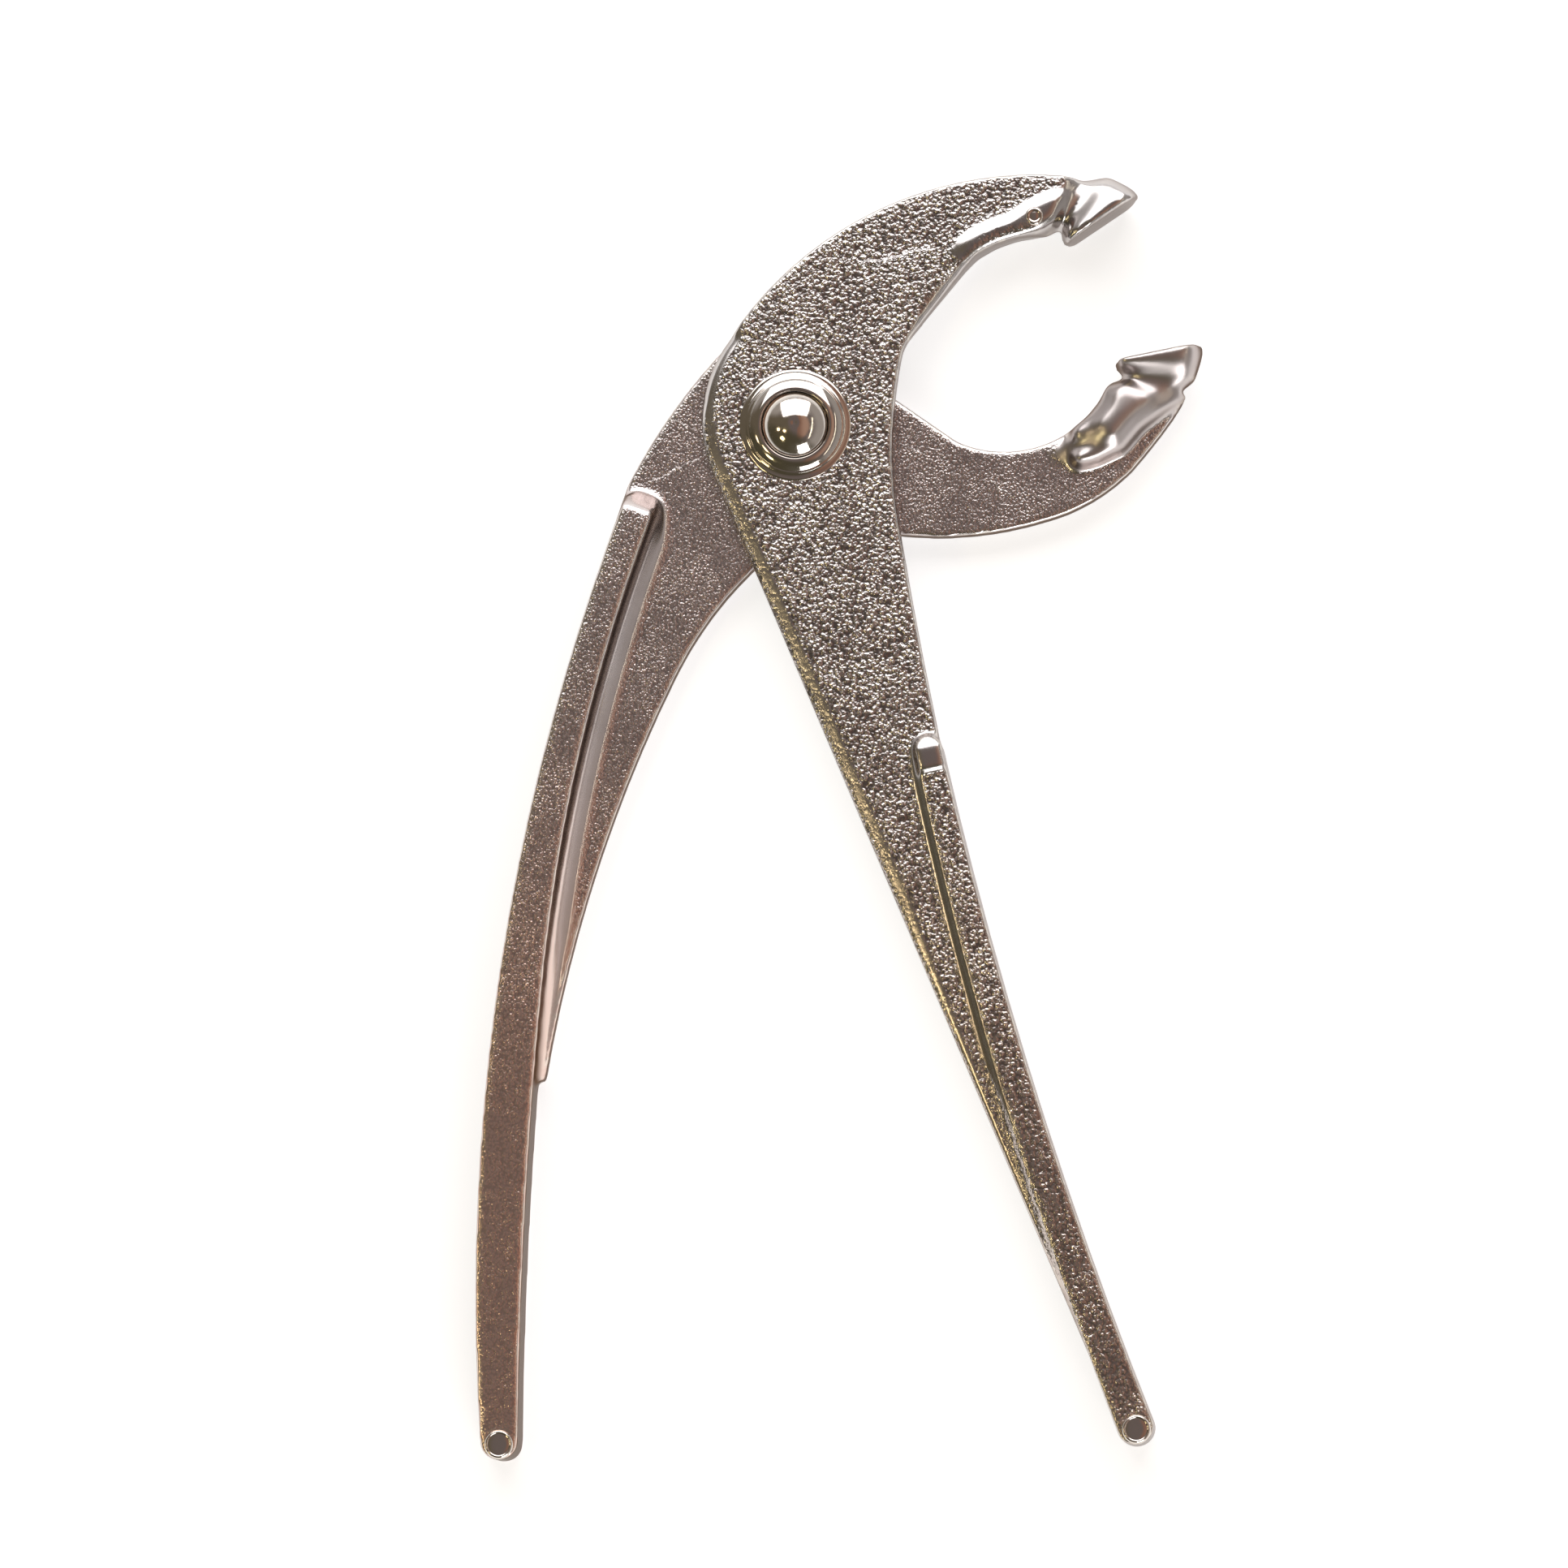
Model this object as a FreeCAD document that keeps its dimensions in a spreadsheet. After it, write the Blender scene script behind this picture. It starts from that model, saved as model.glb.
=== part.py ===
import FreeCAD, Part
import math
import os

import Sketcher

# A pliers nutcracker: two die-cast levers that cross on one rivet and carry jaws to one side.
# It lies flat. The pivot axis is Z, the origin is on that axis where the rivet's tail meets
# the surface below, X points towards the jaws and -Y along the handles. Lengths are in
# millimetres and angles in degrees. The levers are modelled half open.
SIZES = {
    # heights
    "rail_height": 10.0,
    "web_thickness": 3.65,
    "rear_web_rise": 1.2,
    "lever_gap": 0.3,
    # pivot: boss on each lever, and the rivet through both
    "boss_radius": 8.6,
    "boss_crown_radius": 7.4,
    "boss_crown_drop": 0.55,
    "boss_height": 1.2,
    "head_radius": 5.0,
    "head_dome": 2.3,
    "head_edge": 0.35,
    "head_recess": 0.8,
    "head_side_clearance": 0.2,
    "shank_radius": 3.0,
    "running_clearance": 0.05,
    "head_clearance": 0.08,
    "tail_radius": 4.4,
    "tail_depth": 1.3,
    "upset": 0.02,
    # crushing pads: faces lie on lines through the pivot
    "front_pad_angle": 33.7,
    "rear_pad_angle": 11.2,
    "pad_inner_radius": 50.1,
    "pad_width": 13.7,
    "pad_corner": 1.1,
    "rim_lag": 1.2,
    # jaw end behind the pad: it swells from the neck to the rim
    "swell_setback": 0.8,
    "swell_width": 12.5,
    "swell_inner_lag": 1.9,
    "swell_outer_lag": 5.0,
    "swell_inset": 0.45,
    "swell_corner": 2.3,
    "neck_setback": 1.2,
    "neck_width": 8.7,
    "neck_inner_lag": 3.0,
    "neck_outer_lag": 7.4,
    "neck_inset": 0.9,
    "neck_corner": 3.0,
    # round bar along the cavity edge of each jaw
    "bar_width": 5.3,
    "bar_inset": 0.5,
    "bar_corner": 2.2,
    "bar_root_width": 1.6,
    "bar_root_inset": 0.5,
    "bar_root_corner": 0.4,
    # the front jaw's deep lip leads from the throat into its bar
    "lip_x": 17.5,
    "lip_y": 13.2,
    "lip_lean": 158.0,
    "lip_width": 2.7,
    "lip_proud": 0.5,
    "lip_low": 2.0,
    "lip_corner": 0.7,
    "front_cavity_x": -1.0,
    "front_cavity_y": -18.0,
    "front_cavity_radius": 18.3,
    "front_cavity_start": 133.0,
    "front_bar_start_angle": 124.0,
    "front_bar_angle": 103.0,
    "front_bar_start_width": 3.2,
    "rear_cavity_x": -14.8,
    "rear_cavity_y": 6.2,
    "rear_cavity_radius": 17.6,
    "rear_bar_root_angle": -80.0,
    "rear_bar_start_angle": -66.0,
    "rear_bar_angle": -45.0,
    "rear_bar_start_width": 3.1,
    # front lever, its flat web
    "front_tip_x": 43.8,
    "front_tip_y": 38.3,
    "front_back_radius": 55.9,
    "front_shoulder_x": -10.2,
    "front_shoulder_y": 13.7,
    "front_heel_radius": 20.3,
    "front_heel_x": -13.1,
    "front_heel_y": -6.5,
    "front_fade_x": 47.3,
    "front_fade_y": -149.3,
    "front_hip_x": 21.6,
    "front_hip_y": -45.9,
    "front_waist_x": 16.3,
    "front_waist_y": -17.5,
    "front_waist_radius": 73.2,
    "front_throat_x": 16.5,
    "front_throat_y": 11.4,
    "front_throat_radius": 43.4,
    # rear lever, its flat web
    "rear_head_x": -12.6,
    "rear_head_y": 11.2,
    "rear_head_radius": 12.5,
    "rear_crown_x": 3.2,
    "rear_crown_y": 12.9,
    "rear_throat_x": 24.7,
    "rear_throat_y": -2.2,
    "rear_tip_x": 60.5,
    "rear_tip_y": 4.6,
    "rear_tip_radius": 105.0,
    "rear_jowl_x": 51.9,
    "rear_jowl_y": -6.7,
    "rear_jowl_radius": 29.3,
    "rear_chin_x": 38.1,
    "rear_chin_y": -14.7,
    "rear_chin_radius": 56.0,
    "rear_armpit_x": 6.7,
    "rear_armpit_y": -14.8,
    "rear_armpit_radius": 7.2,
    "rear_flank_x": -0.1,
    "rear_flank_y": -16.3,
    "rear_flank_radius": 59.0,
    "rear_thigh_x": -19.2,
    "rear_thigh_y": -39.0,
    "rear_thigh_radius": 222.0,
    "rear_fade_x": -38.9,
    "rear_fade_y": -100.8,
    "rear_shoulder_x": -26.3,
    "rear_shoulder_y": -8.6,
    "rear_shoulder_radius": 92.5,
    # handles: a full-height rail along the outer edge of each lever
    "handle_reach": 163.3,
    "front_handle_angle": -71.4,
    "front_handle_lean": -66.5,
    "rear_handle_angle": -106.15,
    "rear_handle_lean": -91.5,
    "rail_end_width": 5.7,
    "cap_share": 0.51,
    "rail_sink": 1.8,
    "front_rail_x": 20.5,
    "front_rail_y": -50.0,
    "front_rail_width": 4.0,
    "front_rail_lean": -78.0,
    "front_rail_outer_radius": 691.6,
    "front_rail_inner_radius": 714.0,
    "rear_rail_x": -23.9,
    "rear_rail_y": -11.7,
    "rear_rail_width": 4.8,
    "rear_rail_lean": -110.0,
    "rear_rail_outer_radius": 338.0,
    "rear_rail_bend_x": -38.6,
    "rear_rail_bend_y": -82.0,
    "rear_rail_upper_radius": 275.0,
    "rear_rail_lower_radius": 840.0,
    # ejector pads left by the casting die
    "end_button_radius": 2.2,
    "end_button_height": 0.3,
    "bar_button_radius": 1.5,
    "bar_button_height": 0.15,
    "bar_button_angle": 97.0,
}

DOC = FreeCAD.newDocument("nutcracker")


class Formula:
    """A number together with the spreadsheet expression that gives it."""

    def __init__(self, value, text):
        self.value = value
        self.text = text

    def __add__(self, other):
        return Formula(self.value + other.value, f"({self.text} + {other.text})")

    def __sub__(self, other):
        return Formula(self.value - other.value, f"({self.text} - {other.text})")

    def __mul__(self, other):
        return Formula(self.value * other.value, f"{self.text} * {other.text}")

    def __truediv__(self, other):
        return Formula(self.value / other.value, f"({self.text}) / ({other.text})")

    def __neg__(self):
        return Formula(-self.value, f"-({self.text})")


def size(name):
    return Formula(SIZES[name], f"sizes.{name}")


def number(value):
    return Formula(value, repr(value))


ZERO = number(0.0)
HALF = number(0.5)
QUARTER_TURN = number(90.0)


def cosine(angle):
    return Formula(math.cos(math.radians(angle.value)), f"cos({angle.text})")


def sine(angle):
    return Formula(math.sin(math.radians(angle.value)), f"sin({angle.text})")


class Spot:
    """A point of a plan or profile, as two formulas."""

    def __init__(self, x, y):
        self.x = x
        self.y = y

    def shifted(self, reach, angle):
        return Spot(self.x + reach * cosine(angle), self.y + reach * sine(angle))

    def to(self, other):
        return Spot(other.x - self.x, other.y - self.y)


PIVOT = Spot(ZERO, ZERO)


def spot(stem):
    return Spot(size(f"{stem}_x"), size(f"{stem}_y"))


def polar(radius, angle):
    return Spot(radius * cosine(angle), radius * sine(angle))


def distance(start, end):
    across = start.to(end)
    text = f"sqrt(({across.x.text})^2 + ({across.y.text})^2)"
    return Formula(math.hypot(across.x.value, across.y.value), text)


def bearing(start, end):
    across = start.to(end)
    value = math.degrees(math.atan2(across.y.value, across.x.value))
    return Formula(value, f"atan2({across.y.text}; {across.x.text})")


def make_sheet():
    sheet = DOC.addObject("Spreadsheet::Sheet", "sizes")
    for row, (name, value) in enumerate(SIZES.items(), start=1):
        sheet.set(f"A{row}", name)
        sheet.set(f"B{row}", str(value))
        sheet.setAlias(f"B{row}", name)
    DOC.recompute()


def make_body(name):
    body = DOC.addObject("PartDesign::Body", name)
    body.Label = name
    return body


def origin_plane(body, role):
    return next(item for item in body.Origin.OriginFeatures if item.Role == role)


def flat_sketch(body, name, height):
    """A sketch seen from above, lifted to a height."""
    sketch = body.newObject("Sketcher::SketchObject", name)
    sketch.AttachmentSupport = [(origin_plane(body, "XY_Plane"), "")]
    sketch.MapMode = "FlatFace"
    sketch.setExpression(".AttachmentOffset.Base.z", height.text)
    return sketch


def profile_sketch(body, name):
    """A sketch in the plane through the pivot axis: its x is the radius and its y the height."""
    sketch = body.newObject("Sketcher::SketchObject", name)
    sketch.AttachmentSupport = [(origin_plane(body, "XZ_Plane"), "")]
    sketch.MapMode = "FlatFace"
    return sketch


def upright_sketch(body, name, start, end):
    """A sketch standing on the line from start to end: its x runs along it from start."""
    sketch = profile_sketch(body, name)
    turn = bearing(start, end)
    rotation = FreeCAD.Rotation(FreeCAD.Vector(0, 1, 0), turn.value)
    base = FreeCAD.Vector(start.x.value, 0, -start.y.value)
    sketch.AttachmentOffset = FreeCAD.Placement(base, rotation)
    sketch.setExpression(".AttachmentOffset.Base.x", start.x.text)
    sketch.setExpression(".AttachmentOffset.Base.z", (-start.y).text)
    sketch.setExpression(".AttachmentOffset.Rotation.Angle", turn.text)
    return sketch


def bend(start, end, radius):
    """The arc between two spots: a positive radius turns left on the way, a negative one right."""
    first = FreeCAD.Vector(start.x.value, start.y.value, 0)
    last = FreeCAD.Vector(end.x.value, end.y.value, 0)
    if radius < 0:
        first, last = last, first
    chord = last - first
    reach = math.sqrt(radius * radius - chord.Length**2 / 4)
    side = FreeCAD.Vector(-chord.y, chord.x, 0).normalize()
    centre = (first + last) / 2 + side * reach
    begin = math.atan2(first.y - centre.y, first.x - centre.x)
    finish = math.atan2(last.y - centre.y, last.x - centre.x)
    circle = Part.Circle(centre, FreeCAD.Vector(0, 0, 1), abs(radius))
    return Part.ArcOfCircle(circle, begin, finish)


def tie(sketch, kind, places, formula):
    index = sketch.addConstraint(Sketcher.Constraint(kind, *places, formula.value))
    sketch.setExpression(f"Constraints[{index}]", formula.text)


def pin_point(sketch, edge, end, place):
    """Holds an edge's end at its spot; a spot on an axis is held by that axis."""
    root = (-1, 1)
    if place.x is ZERO:
        sketch.addConstraint(Sketcher.Constraint("PointOnObject", edge, end, -2))
    else:
        tie(sketch, "DistanceX", (*root, edge, end), place.x)
    if place.y is ZERO:
        sketch.addConstraint(Sketcher.Constraint("PointOnObject", edge, end, -1))
    else:
        tie(sketch, "DistanceY", (*root, edge, end), place.y)


def draw_loop(sketch, corners):
    """Closes a loop through (spot, radius) corners; the radius, or None, bends the edge after it."""
    ends = []
    for place, (start, radius) in enumerate(corners):
        end = corners[(place + 1) % len(corners)][0]
        if radius is None:
            line = Part.LineSegment(
                FreeCAD.Vector(start.x.value, start.y.value, 0),
                FreeCAD.Vector(end.x.value, end.y.value, 0),
            )
            edge = sketch.addGeometry(line)
            ends.append((edge, 1, 2))
        else:
            edge = sketch.addGeometry(bend(start, end, radius.value))
            ends.append((edge, 1, 2) if radius.value > 0 else (edge, 2, 1))
    for place, (edge, first, last) in enumerate(ends):
        following, its_first, _ = ends[(place + 1) % len(ends)]
        sketch.addConstraint(Sketcher.Constraint("Coincident", edge, last, following, its_first))
        pin_point(sketch, edge, first, corners[place][0])
        radius = corners[place][1]
        if radius is not None:
            length = radius if radius.value > 0 else -radius
            tie(sketch, "Radius", (edge,), length)


def cap(start, end):
    """The radius of a rounded end that spans two spots: a hair more than half its width."""
    return distance(start, end) * size("cap_share")


def pad(body, sketch, name, length):
    feature = body.newObject("PartDesign::Pad", name)
    feature.Profile = sketch
    feature.setExpression("Length", length.text)
    return feature


def turned(body, kind, name, corners):
    sketch = profile_sketch(body, f"{name}_profile")
    draw_loop(sketch, corners)
    feature = body.newObject(kind, name)
    feature.Profile = sketch
    feature.ReferenceAxis = (sketch, ["V_Axis"])
    feature.Angle = 360
    return feature


def disc(body, name, centre, radius, low, length):
    sketch = flat_sketch(body, f"{name}_plan", low)
    middle = FreeCAD.Vector(centre.x.value, centre.y.value, 0)
    edge = sketch.addGeometry(Part.Circle(middle, FreeCAD.Vector(0, 0, 1), radius.value))
    pin_point(sketch, edge, 3, centre)
    tie(sketch, "Radius", (edge,), radius)
    return pad(body, sketch, name, length)


def rounded_section(body, name, start, end, low, high, corner):
    """A standing rectangle with round corners, from start to end and from low to high."""
    sketch = upright_sketch(body, name, start, end)
    width = distance(start, end)
    corners = [
        (Spot(corner, low), None),
        (Spot(width - corner, low), corner),
        (Spot(width, low + corner), None),
        (Spot(width, high - corner), corner),
        (Spot(width - corner, high), None),
        (Spot(corner, high), corner),
        (Spot(ZERO, high - corner), None),
        (Spot(ZERO, low + corner), corner),
    ]
    draw_loop(sketch, corners)
    return sketch


# ---- heights that several pieces share
RAIL_TOP = size("rail_height")
REAR_LOW = size("rear_web_rise")
REAR_HIGH = REAR_LOW + size("web_thickness")
FRONT_LOW = REAR_HIGH + size("lever_gap")
FRONT_HIGH = FRONT_LOW + size("web_thickness")
BOSS_TOP = FRONT_HIGH + size("boss_height")
RECESS_FLOOR = BOSS_TOP - size("head_recess")
HEAD_LOW = RECESS_FLOOR + size("head_clearance")
BORE_RADIUS = size("shank_radius") + size("running_clearance")
NECK_START = size("pad_inner_radius") - size("neck_setback")


def behind_pad(side, radius, lag):
    """A spot that lags behind the pad's face by an angle about the pivot."""
    face = size(f"{side}_pad_angle")
    return polar(radius, face + lag if side == "front" else face - lag)


def neck_corner(side):
    return behind_pad(side, NECK_START, size("neck_inner_lag"))


def cavity_middle(side):
    """The middle of the round cavity, set out from the neck's inner corner."""
    corner = neck_corner(side)
    offset = spot(f"{side}_cavity")
    return Spot(corner.x + offset.x, corner.y + offset.y)


def bar_ends(side, angle, width):
    """The two ends in plan of a section across the bar, at an angle about the cavity's middle."""
    middle = cavity_middle(side)
    edge = size(f"{side}_cavity_radius")
    return middle.shifted(edge, angle), middle.shifted(edge + width, angle)


def loft(body, name, sections):
    feature = body.newObject("PartDesign::AdditiveLoft", name)
    feature.Profile = sections[0]
    feature.Sections = sections[1:]
    feature.Ruled = True
    return feature


def between(start, end, share):
    return start + (end - start) * number(share)


# Stations along a bar, as shares of the turn from where it starts to where it is full.
BAR_STATIONS = {"start": 0.0, "rise": 0.5, "full": 1.0, "end": 1.5}


def add_bar(body, side, beginning, web_high, neck):
    """The round bar: it rises out of the web, follows the cavity and ends at the neck."""
    low = size("bar_inset")
    inset = size("bar_root_inset")
    sections = list(beginning)
    for name, share in BAR_STATIONS.items():
        grown = min(share, BAR_STATIONS["full"])
        angle = between(size(f"{side}_bar_start_angle"), size(f"{side}_bar_angle"), share)
        width = between(size(f"{side}_bar_start_width"), size("bar_width"), grown)
        bottom = between(low + inset, low, grown)
        top = between(web_high + inset, RAIL_TOP - low, grown)
        corner = between(size("lip_corner"), size("bar_corner"), grown)
        ends = bar_ends(side, angle, width)
        sections.append(rounded_section(body, f"{side}_bar_{name}", *ends, bottom, top, corner))
    loft(body, f"{side}_bar", [*sections, neck])


def add_front_lip(body):
    """The sections that lead the front jaw's deep lip from the throat to its bar."""
    inset = size("bar_root_inset")
    high = FRONT_HIGH - inset
    root = spot("lip")
    root_end = root.shifted(size("bar_root_width"), size("lip_lean"))
    turn = size("front_cavity_start")
    throat_end, _ = bar_ends("front", turn, ZERO)
    lip_start = throat_end.shifted(-size("lip_proud"), turn)
    lip_end = lip_start.shifted(size("lip_width"), turn)
    low = size("lip_low")
    corner = size("bar_root_corner")
    return [
        rounded_section(body, "front_root", root, root_end, FRONT_LOW + inset, high, corner),
        rounded_section(body, "front_lip", lip_start, lip_end, low, high, size("lip_corner")),
    ]


def add_rear_root(body):
    inset = size("bar_root_inset")
    ends = bar_ends("rear", size("rear_bar_root_angle"), size("bar_root_width"))
    low = REAR_LOW + inset
    high = REAR_HIGH - inset
    return [rounded_section(body, "rear_root", *ends, low, high, size("bar_root_corner"))]


def add_pad(body, side):
    """The flared pad behind its flat face, from the neck out. Returns the neck section."""
    pad_start = size("pad_inner_radius")
    pad_end = pad_start + size("pad_width")
    rim_lag = size("rim_lag")
    swell_start = pad_start - size("swell_setback")
    swell_end = swell_start + size("swell_width")
    neck = (
        neck_corner(side),
        behind_pad(side, NECK_START + size("neck_width"), size("neck_outer_lag")),
    )
    swell = (
        behind_pad(side, swell_start, size("swell_inner_lag")),
        behind_pad(side, swell_end, size("swell_outer_lag")),
    )
    rim = (behind_pad(side, pad_start, rim_lag), behind_pad(side, pad_end, rim_lag))
    pad_face = (behind_pad(side, pad_start, ZERO), behind_pad(side, pad_end, ZERO))
    sections = []
    for name, ends, inset, corner in (
        ("neck", neck, size("neck_inset"), size("neck_corner")),
        ("swell", swell, size("swell_inset"), size("swell_corner")),
        ("rim", rim, ZERO, size("pad_corner")),
        ("face", pad_face, ZERO, size("pad_corner")),
    ):
        high = RAIL_TOP - inset
        sections.append(rounded_section(body, f"{side}_{name}", *ends, inset, high, corner))
    loft(body, f"{side}_pad", sections)
    return sections[0]


def rail_ends(side):
    """The four corners of a handle rail in plan: outer and inner, at its start and its end."""
    start = spot(f"{side}_rail")
    end = polar(size("handle_reach"), size(f"{side}_handle_angle"))
    start_half = size(f"{side}_rail_width") * HALF
    end_half = size("rail_end_width") * HALF
    start_side = size(f"{side}_rail_lean") + QUARTER_TURN
    end_side = size(f"{side}_handle_lean") + QUARTER_TURN
    right_start = start.shifted(start_half, start_side)
    left_start = start.shifted(-start_half, start_side)
    right_end = end.shifted(end_half, end_side)
    left_end = end.shifted(-end_half, end_side)
    return right_start, right_end, left_end, left_start


def make_front_lever():
    body = make_body("front_lever")
    right_start, right_end, left_end, left_start = rail_ends("front")
    rail_middle = polar(size("handle_reach"), size("front_handle_angle"))
    middle = cavity_middle("front")
    throat_end = middle.shifted(size("front_cavity_radius"), size("front_cavity_start"))
    web = flat_sketch(body, "front_web_plan", FRONT_LOW)
    draw_loop(
        web,
        [
            (spot("front_tip"), size("front_back_radius")),
            (spot("front_shoulder"), size("front_heel_radius")),
            (spot("front_heel"), None),
            (spot("front_fade"), None),
            (rail_middle, -size("front_rail_outer_radius")),
            (spot("front_hip"), -size("front_rail_outer_radius")),
            (spot("front_waist"), -size("front_waist_radius")),
            (spot("front_throat"), -size("front_throat_radius")),
            (throat_end, -size("front_cavity_radius")),
            (neck_corner("front"), None),
        ],
    )
    pad(body, web, "front_web", size("web_thickness"))
    rail = flat_sketch(body, "front_rail_plan", ZERO)
    draw_loop(
        rail,
        [
            (right_start, size("front_rail_outer_radius")),
            (right_end, -cap(right_end, left_end)),
            (left_end, -size("front_rail_inner_radius")),
            (left_start, -cap(left_start, right_start)),
        ],
    )
    pad(body, rail, "front_rail", RAIL_TOP)
    neck_section = add_pad(body, "front")
    add_bar(body, "front", add_front_lip(body), FRONT_HIGH, neck_section)
    crown = BOSS_TOP - size("boss_crown_drop")
    turned(
        body,
        "PartDesign::Revolution",
        "front_boss",
        [
            (Spot(ZERO, FRONT_LOW + size("web_thickness") * HALF), None),
            (Spot(size("boss_radius"), FRONT_LOW + size("web_thickness") * HALF), None),
            (Spot(size("boss_radius"), FRONT_HIGH), None),
            (Spot(size("boss_crown_radius"), crown), None),
            (Spot(size("boss_crown_radius") - size("boss_crown_drop"), BOSS_TOP), None),
            (Spot(ZERO, BOSS_TOP), None),
        ],
    )
    recess_radius = size("head_radius") + size("head_side_clearance")
    turned(
        body,
        "PartDesign::Groove",
        "front_bore",
        [
            (Spot(ZERO, REAR_LOW), None),
            (Spot(BORE_RADIUS, REAR_LOW), None),
            (Spot(BORE_RADIUS, RECESS_FLOOR), None),
            (Spot(recess_radius, RECESS_FLOOR), None),
            (Spot(recess_radius, BOSS_TOP + size("head_dome")), None),
            (Spot(ZERO, BOSS_TOP + size("head_dome")), None),
        ],
    )
    add_end_button(body, "front")
    reach = size("front_cavity_radius") + size("bar_width") * HALF
    button = middle.shifted(reach, size("bar_button_angle"))
    rise = size("bar_button_height") + size("bar_corner")
    low = RAIL_TOP - size("bar_inset") - size("bar_corner")
    disc(body, "front_bar_button", button, size("bar_button_radius"), low, rise)
    return body


def add_end_button(body, side):
    end = polar(size("handle_reach"), size(f"{side}_handle_angle"))
    rise = size("end_button_height")
    disc(body, f"{side}_end_button", end, size("end_button_radius"), RAIL_TOP - rise, rise + rise)


def make_rear_lever():
    body = make_body("rear_lever")
    right_start, right_end, left_end, left_start = rail_ends("rear")
    sink = size("rail_sink")
    web = flat_sketch(body, "rear_web_plan", REAR_LOW)
    fade = spot("rear_fade")
    fade_root = Spot(fade.x - sink, fade.y)
    bend_spot = spot("rear_rail_bend")
    inside = Spot(bend_spot.x - sink, bend_spot.y)
    draw_loop(
        web,
        [
            (spot("rear_head"), -size("rear_head_radius")),
            (spot("rear_crown"), None),
            (spot("rear_throat"), size("rear_cavity_radius")),
            (neck_corner("rear"), None),
            (spot("rear_tip"), -size("rear_tip_radius")),
            (spot("rear_jowl"), -size("rear_jowl_radius")),
            (spot("rear_chin"), -size("rear_chin_radius")),
            (spot("rear_armpit"), size("rear_armpit_radius")),
            (spot("rear_flank"), size("rear_flank_radius")),
            (spot("rear_thigh"), size("rear_thigh_radius")),
            (fade, None),
            (fade_root, None),
            (inside, -size("rear_rail_upper_radius")),
            (spot("rear_shoulder"), -size("rear_shoulder_radius")),
        ],
    )
    pad(body, web, "rear_web", size("web_thickness"))
    rail = flat_sketch(body, "rear_rail_plan", ZERO)
    draw_loop(
        rail,
        [
            (right_start, size("rear_rail_upper_radius")),
            (bend_spot, size("rear_rail_lower_radius")),
            (right_end, -cap(right_end, left_end)),
            (left_end, -size("rear_rail_outer_radius")),
            (left_start, -cap(left_start, right_start)),
        ],
    )
    pad(body, rail, "rear_rail", RAIL_TOP)
    neck_section = add_pad(body, "rear")
    add_bar(body, "rear", add_rear_root(body), REAR_HIGH, neck_section)
    turned(
        body,
        "PartDesign::Revolution",
        "rear_boss",
        [
            (PIVOT, None),
            (Spot(size("boss_crown_radius") - size("boss_crown_drop"), ZERO), None),
            (Spot(size("boss_crown_radius"), size("boss_crown_drop")), None),
            (Spot(size("boss_radius"), REAR_LOW), None),
            (Spot(size("boss_radius"), REAR_LOW + size("web_thickness") * HALF), None),
            (Spot(ZERO, REAR_LOW + size("web_thickness") * HALF), None),
        ],
    )
    turned(
        body,
        "PartDesign::Groove",
        "rear_bore",
        [
            (PIVOT, None),
            (Spot(size("tail_radius"), ZERO), None),
            (Spot(size("shank_radius"), size("tail_depth")), None),
            (Spot(size("shank_radius"), FRONT_HIGH), None),
            (Spot(ZERO, FRONT_HIGH), None),
        ],
    )
    add_end_button(body, "rear")
    return body


def make_rivet():
    """Domed head, shank and a tail spread into the rear lever's countersink."""
    body = make_body("rivet")
    head_edge = HEAD_LOW + size("head_edge")
    head_top = head_edge + size("head_dome")
    upset = size("upset")
    grip = size("shank_radius") + upset
    head = size("head_radius")
    rise = size("head_dome")
    dome = (head * head + rise * rise) * HALF / rise
    turned(
        body,
        "PartDesign::Revolution",
        "rivet_turned",
        [
            (PIVOT, None),
            (Spot(size("tail_radius"), ZERO), None),
            (Spot(grip, size("tail_depth")), None),
            (Spot(grip, REAR_HIGH), None),
            (Spot(size("shank_radius"), REAR_HIGH + size("lever_gap")), None),
            (Spot(size("shank_radius"), HEAD_LOW), None),
            (Spot(head, HEAD_LOW), None),
            (Spot(head, head_edge), dome),
            (Spot(ZERO, head_top), None),
        ],
    )
    return body


def check(bodies):
    for item in DOC.Objects:
        if "Invalid" in item.State or "Error" in item.State:
            raise RuntimeError(f"{item.Name} failed: {item.State}")
    for body in bodies:
        shape = body.Shape
        if shape.isNull() or not shape.isValid() or len(shape.Solids) != 1:
            raise RuntimeError(f"{body.Label} is not one valid solid")


def write(bodies):
    os.makedirs("parts", exist_ok=True)
    for body in bodies:
        body.Shape.exportStep(f"parts/{body.Label}.step")
        box = body.Shape.BoundBox
        print(f"{body.Label}: volume {body.Shape.Volume:.1f} mm3, Z {box.ZMin:.3f} to {box.ZMax:.3f}")


make_sheet()
pieces = [make_front_lever(), make_rear_lever(), make_rivet()]
DOC.recompute()
check(pieces)
write(pieces)
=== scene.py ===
"""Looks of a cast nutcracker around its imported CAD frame: two plated levers, a rivet and a studio."""
import math

import bmesh
import bpy
import numpy as np
from mathutils import Matrix, Vector
from mathutils.kdtree import KDTree


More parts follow.
